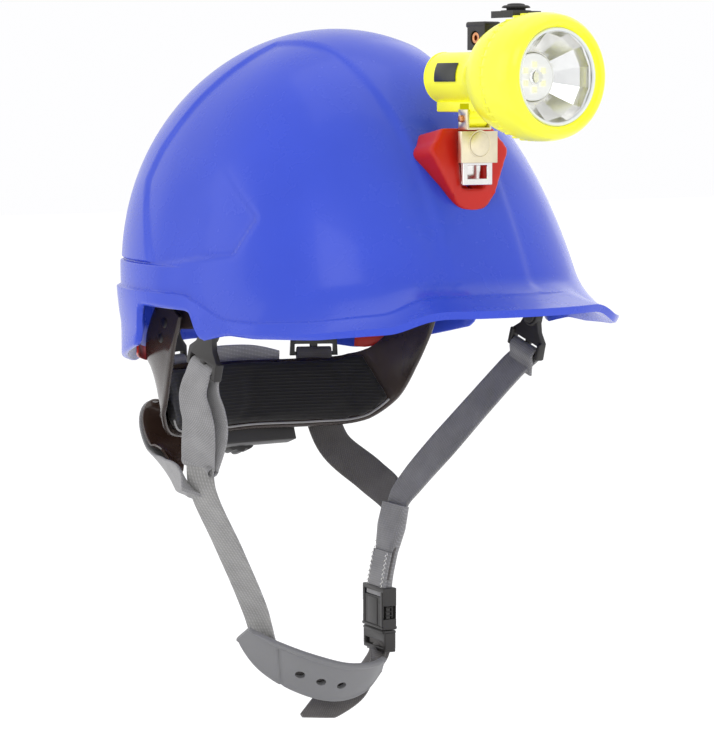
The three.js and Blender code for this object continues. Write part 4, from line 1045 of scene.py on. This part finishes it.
def nape_pad():
    pad = swept_band(nape_route(), NAPE_WIDE, lambda u: nape_width(u) - 0.0035, -0.0072, -0.0030, 120, PAD_START,
                     PAD_END)
    pad = smooth(swollen(pad, 0.0024, 3.0, 0.0009), 60)
    finish_piece(pad, "nape_pad_foam", "foam_skin", "nape", ["nape_pad"])
    route = Route(nape_route())
    rail = []
    for k in range(25):
        u = PAD_START + (PAD_END - PAD_START) * k / 24
        centre, _, across, out = frame_at(route, NAPE_WIDE, u)
        rail.append(centre - across * (nape_width(u) / 2 - 0.0014) - out * 0.0052)
    seam = swept_band(rail, UPRIGHT, 0.0012, -0.0005, 0.0005, 110, section_points=2)
    finish_piece(smooth(seam, 60), "nape_pad_piping", "grey_piping", "nape")


def crown_straps():
    for index, hand in enumerate((1, -1)):
        start = Vector((hand * 0.067, -0.068, 0.026))
        end = Vector((-hand * 0.070, 0.086, 0.026))
        middle = (start + end) / 2
        half = end - middle
        heading = half.normalized()
        across = (-heading.y, heading.x, 0)
        rise = 0.086 - index * 0.0026
        points = []
        for i in range(13):
            angle = math.pi * (1 - i / 12)
            p = middle + half * math.cos(angle)
            points.append(Vector((p.x, p.y, 0.026 + rise * math.sin(angle))))
        strap = swept_band(points, [across, across], 0.020, 0.0001, 0.0017, 140)
        name = "crown_strap_%d" % (index + 1)
        finish_piece(strap, name + "_web", "dark_web", "root", [name])
        for number in (index * 2 + 1, index * 2 + 2):
            node = "crown_clip_%d" % number
            clip = soften(worked_copy(node, 0), 0.0011, 3)
            finish_piece(smooth(clip), node + "_moulded", "amber_band", "root", [node])


def rim_liners():
    for hand in ("left", "right"):
        strip = worked_copy("rim_liner_" + hand, 0.0003, 2, 40)
        strip.data.transform(Matrix.Translation((0, 0, -0.0024)))
        finish_piece(strip, "rim_liner_%s_strip" % hand, "red_bracket", "root",
                     ["rim_liner_" + hand])


def ratchet_pieces():
    case = worked_copy("ratchet_housing", 0.0011, 3)
    finish_piece(case, "ratchet_case", "black_mould", "nape", ["ratchet_housing"])
    for name, finish, slot_name, body in (("ratchet_pinion", "bright_steel", "bright_steel", "knob"),
                                          ("rack_left", "black_mould", "black_plastic", "rack_left"),
                                          ("rack_right", "black_mould", "black_plastic", "rack_right")):
        finish_piece(worked_copy(name, 0.00018, 1), name + "_toothed", finish, body, [name])
    knob = worked_copy("ratchet_knob", 0.0006, 2)
    axis = Vector((0, 0.9397, -0.3420))
    top = Vector((0, 0.1102, -0.0592)) + axis * 0.0216
    cap = turned(rounded([(0, 0), (0.0102, 0), (0.0098, 0.0006), (0.0040, 0.0008), (0, 0.0008)], 0.0003),
                 top, axis, 64)
    finish_piece(smooth(join(knob, cap), 30), "ratchet_wheel", "black_mould", "knob",
                 ["ratchet_knob"])


# ---- Chin harness ---------------------------------------------------------------------------

HOOKS = {
    "front_left": (Vector((0.101533, -0.012405, 0.001894)), Vector((1, 0, 0)), 18),
    "front_right": (Vector((-0.101533, -0.012405, 0.001894)), Vector((-1, 0, 0)), 18),
    "rear_left": (Vector((0.046071, 0.114299, -0.005377)), Vector((0.443586, 0.896232, 0)), 0),
    "rear_right": (Vector((-0.046071, 0.114299, -0.005377)), Vector((-0.443586, 0.896232, 0)), 0),
}
WEB = 0.0016
BAR_DROP = 0.0168
BUCKLE_TURN = Matrix.Translation((0.047, 0.052, 0)) @ Matrix.Rotation(math.radians(-8), 4, "Z")
BUCKLE_ACROSS = Vector((0.139, 0.990, 0))


def hook_frame(place):
    """The hook's pivot, its fall, its width and the way it faces."""
    centre, out, swing = HOOKS[place]
    turn = math.radians(swing)
    fall = Vector((0, math.sin(turn), -math.cos(turn)))
    across = out.cross(fall).normalized()
    return centre, fall, across, out


def hooks():
    for place in HOOKS:
        centre, fall, across, out = hook_frame(place)
        hook = worked_copy("strap_hook_" + place, 0.0008, 3)
        turn = Matrix((across, out, fall)).transposed().to_4x4()
        lever = soften(block((0.0045, 0.0022, 0.0085), (0, 0, 0)), 0.0009, 3)
        lever.data.transform(Matrix.Translation(centre + fall * 0.0125 + out * 0.0012) @ turn)
        lips = []
        lip_sides = (1, -1) if place.startswith("front") else ()
        for side in lip_sides:
            lip = soften(block((0.0030, 0.0044, 0.0095), (0, 0, 0)), 0.0008, 3)
            lip.data.transform(Matrix.Translation(centre + fall * BAR_DROP + across * side * 0.0122) @ turn)
            lips.append(lip)
        ring = turned(rounded([(0.0040, -0.0020), (0.0062, -0.0020), (0.0062, 0.0020), (0.0040, 0.0020)],
                              0.0009, steps=4), centre, out, 48)
        finish_piece(smooth(join(hook, lever, ring, *lips)), "hook_%s_moulded" % place, "black_mould",
                     "hook_" + place, ["strap_hook_" + place])
        peg = worked_copy("hook_peg_" + place, 0.0004, 2)
        finish_piece(peg, "peg_%s_turned" % place, "black_mould", "root",
                     ["hook_peg_" + place])


def loop_top(place, back_length, spread_out):
    """The stretch of web round the hook's bar: up the inside, through the slot and out again."""
    centre, fall, _, out = hook_frame(place)
    back = [centre + fall * (0.0215 + back_length * k) - out * spread_out * w
            for k, w in ((1.0, 0.35), (0.66, 0.75), (0.33, 1.0))]
    bar = [centre + fall * 0.0205 - out * 0.0028, centre + fall * 0.0177 - out * 0.0016,
           centre + fall * BAR_DROP, centre + fall * 0.0177 + out * 0.0016, centre + fall * 0.0205 + out * 0.0028]
    return back + bar


def stitch_row(start, end, out, count, zigzag=0.0, across=None, size=0.0011):
    """A row of thread stitches from start to end, standing a little out of the web."""
    start, end, out = Vector(start), Vector(end), Vector(out).normalized()
    along = (end - start).normalized()
    sideways = Vector(across).normalized() if across else along.cross(out).normalized()
    threads = []
    for i in range(count):
        place = start.lerp(end, (i + 0.5) / count) + sideways * zigzag * (1 if i % 2 else -1)
        heading = (along + sideways * (0.9 if i % 2 else -0.9)).normalized() if zigzag else along
        side = heading.cross(out).normalized()
        clear_selection()
        bpy.ops.mesh.primitive_uv_sphere_add(segments=8, ring_count=6, radius=1)
        thread = bpy.context.object
        thread.data.transform(Matrix.Diagonal((size, 0.00028, 0.00028, 1)))
        turn = Matrix((heading, side, out)).transposed().to_4x4()
        thread.data.transform(Matrix.Translation(place + out * 0.0001) @ turn)
        threads.append(thread)
    return smooth(join(*threads), 60)


def web_piece(name, finish, points, wide, width, steps, node, half=WEB / 2):
    strap = swept_band(points, wide, width, -half, half, steps)
    dress(strap, name, finish)
    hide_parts(node)
    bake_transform(strap)
    return strap


def front_right_loop():
    """A puffed double loop of web, hanging from the hook and folded at its foot."""
    centre, fall, across, out = hook_frame("front_right")
    foot = Vector((-0.0900, 0.0160, -0.0665))
    middle = Vector((-0.0965, 0.001, -0.046))
    first = centre + fall * 0.0205
    way = Route([first, centre + fall * 0.033, middle, foot])
    inner, outer = [], []
    for k in range(9):
        u = k / 8
        puff = 0.0027 + 0.0014 * math.sin(math.pi * u) - 0.0012 * max(u - 0.8, 0) * 5
        outer.append(way.at(u) + out * puff)
        inner.append(way.at(u) - out * puff)
    foot_turn = [way.at(1) + way.tangent(1) * 0.0022 + out * 0.0012, way.at(1) + way.tangent(1) * 0.0030,
                 way.at(1) + way.tangent(1) * 0.0022 - out * 0.0012]
    top = [centre + fall * 0.0177 - out * 0.0016, centre + fall * BAR_DROP, centre + fall * 0.0177 + out * 0.0016]
    tuck = inner[8] + way.tangent(1) * 0.0006
    points = inner[:1:-1] + inner[1::-1] + top + outer + foot_turn + [tuck]
    low_across = Vector((-0.35, 0.93, 0.05)) * (1 if across.y > 0 else -1)
    wide = [across.lerp(low_across, ease(2.2 * (first.z - p.z) / (first.z - foot.z))) for p in points]
    web_piece("front_right_loop", "grey_web", points, wide, 0.0195, 150, "strap_front_right")


def front_left_strap():
    centre, fall, across, out = hook_frame("front_left")
    points = loop_top("front_left", 0.010, 0.0016) + [
        Vector((0.0968, 0.0006, -0.0270)) + out * 0.0012, Vector((0.0900, 0.0090, -0.0400)),
        Vector((0.0786, 0.0246, -0.0620)),
        Vector((0.0640, 0.0440, -0.0900)), Vector((0.0590, 0.0500, -0.1010)), Vector((0.0560, 0.0512, -0.1140)),
        Vector((0.0515, 0.0520, -0.1300)), Vector((0.0482, 0.0524, -0.1440)),
    ]
    down = BUCKLE_ACROSS
    slant = Vector((0, 0.85, 0.5))
    lead = across if (-across).dot(slant) < 0 else -across
    wide = [lead] * 11 + [slant, slant.lerp(down, 0.35), slant.lerp(down, 0.7), down, down, down]
    web_piece("front_left_strap", "grey_web", points, wide, 0.0198, 170, "strap_front_left")


def rear_strap(hand):
    place = "rear_left" if hand > 0 else "rear_right"
    centre, fall, across, out = hook_frame(place)
    points = loop_top(place, 0.016, 0.0026)
    points += [centre + fall * 0.030 + out * 0.0020, centre + fall * 0.040 + out * 0.0008]
    if hand > 0:
        points += vectors([(0.0530, 0.120, -0.055), (0.0540, 0.106, -0.076), (0.0620, 0.082, -0.092),
                           (0.0615, 0.0600, -0.1020), (0.0570, 0.0530, -0.1120), (0.0500, 0.0505, -0.1300),
                           (0.0462, 0.0505, -0.1440)])
        after = [(0.9, -0.3, 0), (0.9, -0.4, 0.2), (0.5, -0.6, 0.6), (0.1, -0.75, 0.5), (0.15, -0.95, 0.1),
                 (-0.139, -0.990, 0), (-0.139, -0.990, 0)]
    else:
        points += vectors([(-0.053, 0.120, -0.055), (-0.060, 0.103, -0.076), (-0.078, 0.066, -0.079),
                           (-0.0885, 0.036, -0.0785), (-0.0898, 0.0200, -0.0835)])
        after = [(-0.9, 0.3, 0.3), (-0.6, 0.35, 0.6), (-0.3, 0.3, 0.9), (-0.2, 0.55, 0.8), (-0.3, 0.85, 0.4)]
    # The left rear strap is the same webbing as the right one; its darker finish is painted shade on the far strap.
    lead = -across if across.dot(Vector(after[0])) < 0 else across
    wide = [lead] * (len(points) - len(after)) + vectors(after)
    name = "rear_left_strap" if hand > 0 else "rear_right_strap"
    finish = "dark_web" if hand > 0 else "grey_web"
    web_piece(name, finish, points, wide, 0.0196, 170, "strap_" + place)
    if hand < 0:
        rear_shaded_leaf(centre, fall, across, out)


def rivet_head(radius, shoulder, height, place, out):
    """A domed rivet head standing on a face."""
    return turned(rounded([(0, 0), (radius, 0), (radius - 0.0002, shoulder), (radius / 2 - 0.0001, height - 0.0001),
                           (0, height)], 0.0003), place, out, 24)


def rear_shaded_leaf(centre, fall, across, out):
    """The dark plastic leaf riveted over the upper part of the rear web on the right side. Its dark, glossy face is
    also painted shade on that stretch of web.
    """
    points = [centre + fall * 0.0205 - out * 0.0052, centre + fall * 0.030 - out * 0.0050,
              centre + fall * 0.040 - out * 0.0036]
    points += vectors([(-0.0512, 0.1168, -0.0545), (-0.0582, 0.1005, -0.0738), (-0.0650, 0.0870, -0.0755)])
    lead = -across if across.x > 0 else across
    wide = [lead, lead, lead, (-0.9, 0.3, 0.3), (-0.6, 0.35, 0.6), (-0.4, 0.33, 0.8)]
    leaf = swept_band(points, wide, lambda u: 0.0225 - 0.006 * max(u - 0.85, 0) / 0.15, -0.0006, 0.0006, 90)
    route = Route(points)
    heads = []
    for u in (0.2, 0.6):
        place, _, _, normal = frame_at(route, wide, u)
        for side in (1, -1):
            heads.append(rivet_head(0.0024, 0.0006, 0.0011, place + normal * side * 0.0005, normal * side))
    leaf = smooth(join(leaf, *heads), 40)
    dress(leaf, "rear_right_shaded_leaf", "leaf_plastic")
    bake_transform(leaf)


def lower_right_strap():
    points = vectors([(-0.0900, 0.0168, -0.0655), (-0.0880, 0.0180, -0.0800), (-0.066, 0.028, -0.114),
                      (-0.047, 0.038, -0.142), (-0.0385, 0.043, -0.156), (-0.0345, 0.0425, -0.1700)])
    wide = [(-0.3, 0.9, 0.1), (-0.3, 0.9, 0), (-0.35, 0.9, 0), (-0.35, 0.9, 0), (-0.25, 0.93, -0.1),
            (-0.2, 0.93, -0.1)]
    web_piece("lower_right_strap", "ribbed_web", points, wide, 0.0178, 150, "strap_lower_right",
              0.0007)


def lower_left_strap():
    """The doubled web above the buckle, with its folded end and zigzag seam."""
    across = BUCKLE_ACROSS
    points = vectors([(0.0566, 0.0502, -0.1040), (0.0540, 0.0506, -0.1160), (0.0512, 0.0511, -0.1290),
                      (0.0486, 0.0516, -0.1410), (0.0475, 0.0519, -0.1490), (0.0470, 0.0520, -0.1530)])
    wide = [(0, 0.95, 0.2), (-0.1, 0.97, 0.1), across, across, across, across]
    body = swept_band(points, wide, 0.0205, -0.0027, 0.0027, 70)
    folded_end = [p + Vector((-0.0030, -0.0006, 0)) for p in points[2:]]
    flap = swept_band(folded_end, [across, across], 0.0200, -WEB / 2, WEB / 2, 40)
    web = join(body, flap)
    finish_piece(smooth(web, 50), "lower_left_web", "grey_web", "root", ["strap_lower_left"])
    out = Vector((-across.y, across.x, 0))
    seams = []
    for side in (-1, 1):
        seams.append(stitch_row(points[2] + out * 0.0040 + across * side * 0.0080,
                                points[4] + out * 0.0040 + across * side * 0.0080, out, 16, 0.0007, across))
    seams.append(stitch_row(points[0] + out * 0.0030 + across * 0.0085 + Vector((0, 0, -0.004)),
                            points[2] + out * 0.0029 + across * 0.0085, out, 12, 0.0006, across))
    finish_piece(smooth(join(*seams), 60), "lower_left_stitching", "white_thread", "root")


def nape_strap():
    points = vectors([(-0.0290, 0.1240, -0.031), (-0.014, 0.129, -0.0305), (0.014, 0.129, -0.0305),
                      (0.0290, 0.1240, -0.031)])
    strap = swept_band(points, UPRIGHT, lambda u: 0.015 + 0.007 * math.sin(math.pi * u), -WEB / 2, WEB / 2, 80)
    finish_piece(strap, "nape_elastic", "pale_web", "root", ["nape_strap"])


CUP_ROUTE = [(-0.048, 0.042, -0.163), (-0.034, 0.037, -0.176), (-0.014, 0.033, -0.187), (0.008, 0.032, -0.194),
             (0.028, 0.036, -0.194), (0.040, 0.040, -0.189)]
CUP_LEAN = [(0, -0.5, 0.87), (0, -0.5, 0.87)]
CUP_VENTS = (0.37, 0.485, 0.60)
VENT_RADIUS = 0.0023


def cup_width(u):
    return (7.5 + 18.5 * math.sin(math.pi * min(max(u, 0.02), 0.98)) ** 0.6) / 1000


def chin_cup():
    """A soft moulded cup with a rolled top edge, a sunk panel line and three oval vents."""
    def form(u, share, side):
        if side > 0:
            lip = 0.0014 * ease((share - 0.74) / 0.12)
            foot = 0.0005 * ease((-0.8 - share) / 0.1)
            line = 0.20 + 0.08 * (0.6 - share)
            groove = -0.0007 * math.exp(-((u - line) / 0.010) ** 2) * ease((0.70 - share) / 0.05)
            step = 0.0005 * ease((line - u) / 0.008)
            return lip + foot + groove + step
        return 0.0
    cup = swept_band(CUP_ROUTE, CUP_LEAN, cup_width, -0.0013, 0.0013, 200, relief=form, section_points=26)
    way = Route(CUP_ROUTE)
    for u in CUP_VENTS:
        centre, tangent, across, out = frame_at(way, CUP_LEAN, u)
        drill = turned(rounded([(0, -0.004), (VENT_RADIUS, -0.004), (VENT_RADIUS, 0.004), (0, 0.004)], 0.0001),
                       (0, 0, 0), (0, 0, 1), 40)
        drill.data.transform(Matrix.Diagonal((1.3, 0.95, 1, 1)))
        turn = Matrix((tangent, across, out)).transposed().to_4x4()
        drill.data.transform(Matrix.Translation(centre - across * 0.0015) @ turn)
        carve(cup, drill)
    finish_piece(smooth(cup, 45), "chin_cup_moulded", "cup_rubber", "chin", ["chin_cup"])


def cup_strap():
    way = Route(CUP_ROUTE)
    points, wide = [], []
    for k in range(13):
        u = 0.10 + 0.78 * k / 12
        centre, _, across, out = frame_at(way, CUP_LEAN, u)
        points.append(centre - out * 0.0032)
        wide.append(across)
    points += vectors([(0.0400, 0.0455, -0.1865), (0.0445, 0.0495, -0.1830), (0.0465, 0.0518, -0.1790)])
    wide += [Vector((-0.35, 0.2, 0.9)), Vector((-0.45, 0.70, 0.5)), BUCKLE_ACROSS]
    fixed = []
    for w in wide:
        if fixed and fixed[-1].dot(w) < 0:
            w = -w
        fixed.append(w)
    strap = swept_band(points, fixed, 0.0130, -0.0007, 0.0007, 130)
    finish_piece(strap, "cup_inner_strap", "dark_web", "chin", ["cup_strap"])


def strap_tail():
    low = -0.18335
    points = vectors([(0.0466, 0.0530, low + 0.006), (0.0470, 0.0540, low - 0.0022), (0.041, 0.055, low - 0.011),
                      (0.031, 0.053, low - 0.020), (0.012, 0.048, low - 0.025), (-0.009, 0.045, low - 0.029)])
    wide = [BUCKLE_ACROSS, BUCKLE_ACROSS, BUCKLE_ACROSS, (0, 0.9, 0.3), (0, 0.7, 0.7), (0, 0.7, 0.7)]

    def width(u):
        return 0.0178 - 0.0150 * max(u - 0.84, 0) / 0.16
    strap = swept_band(points, wide, width, -WEB / 2, WEB / 2, 120)
    finish_piece(strap, "strap_tail_web", "dark_web", "chin", ["strap_tail"])


def buckle_block(size, place, bevel=0.0005, segments=3):
    part = soften(block(size, place), bevel, segments)
    part.data.transform(BUCKLE_TURN)
    return part


def buckle():
    """Side-release buckle: the socket stays with the upper web, the plug goes with the cup."""
    socket = worked_copy("buckle_female", 0.0007, 3)
    extra = []
    for side in (1, -1):
        extra.append(buckle_block((0.0009, 0.0110, 0.0150), (side * 0.0040, 0, -0.1615)))
        extra.append(buckle_block((0.0008, 0.0022, 0.0190), (side * 0.0040, 0.0104, -0.1600)))
        extra.append(buckle_block((0.0008, 0.0022, 0.0190), (side * 0.0040, -0.0104, -0.1600)))
        extra.append(buckle_block((0.0012, 0.0244, 0.0016), (side * 0.0040, 0, -0.1700)))
    bar = buckle_block((0.0030, 0.0210, 0.0022), (0, 0, -0.1552))
    finish_piece(smooth(join(socket, bar, *extra)), "buckle_socket", "black_mould", "root",
                 ["buckle_female"])
    plug = worked_copy("buckle_male", 0.0006, 3)
    teeth = []
    for side in (1, -1):
        for k in range(4):
            place = (0, side * 0.0107, -0.1590 - 0.0022 * k)
            teeth.append(buckle_block((0.0040, 0.0008, 0.0007), place, 0.0002, 1))
    rim = [buckle_block((0.0012, 0.0236, 0.0014), (side * 0.0036, 0, -0.1724)) for side in (1, -1)]
    wings = [buckle_block((0.0068, 0.0022, 0.0095), (0, side * 0.0120, -0.1772), 0.0009) for side in (1, -1)]
    finish_piece(smooth(join(plug, *teeth, *rim, *wings)), "buckle_plug", "black_mould",
                 "chin", ["buckle_male"])


def rivets():
    """Domed rivets where the nape arms are fixed, and where the headband is joined."""
    heads = []
    way = Route(nape_route())
    for u in (0.055, 0.10, 0.90, 0.945):
        centre, _, _, out = frame_at(way, NAPE_WIDE, u)
        heads.append(rivet_head(0.0026, 0.0006, 0.0012, centre + out * 0.0008, out))
    finish_piece(smooth(join(*heads), 40), "nape_rivets", "black_mould", "nape")
    heads = []
    route = Route(headband_route())
    for u in (0.06, 0.16, 0.84, 0.94, 0.30, 0.70):
        tangent = route.tangent(u)
        out = tangent.cross(Vector((0, 0, 1))).normalized()
        heads.append(rivet_head(0.0030, 0.0007, 0.0013, route.at(u) - out * 0.0008, -out))
    finish_piece(smooth(join(*heads), 40), "headband_rivets", "black_mould", "root")


helmet_shell()
lamp_body()
lamp_bezel()
lamp_optics()
lamp_inner_pieces()
lamp_label()
lamp_switch()
charging_block()
bracket()
clip_pieces()
head_band()
brow_pad()
nape_band()
nape_pad()
crown_straps()
rim_liners()
ratchet_pieces()
hooks()
front_right_loop()
front_left_strap()
rear_strap(1)
rear_strap(-1)
lower_right_strap()
lower_left_strap()
nape_strap()
chin_cup()
cup_strap()
strap_tail()
buckle()
rivets()

set_camera()
set_lights()
pale_floor()
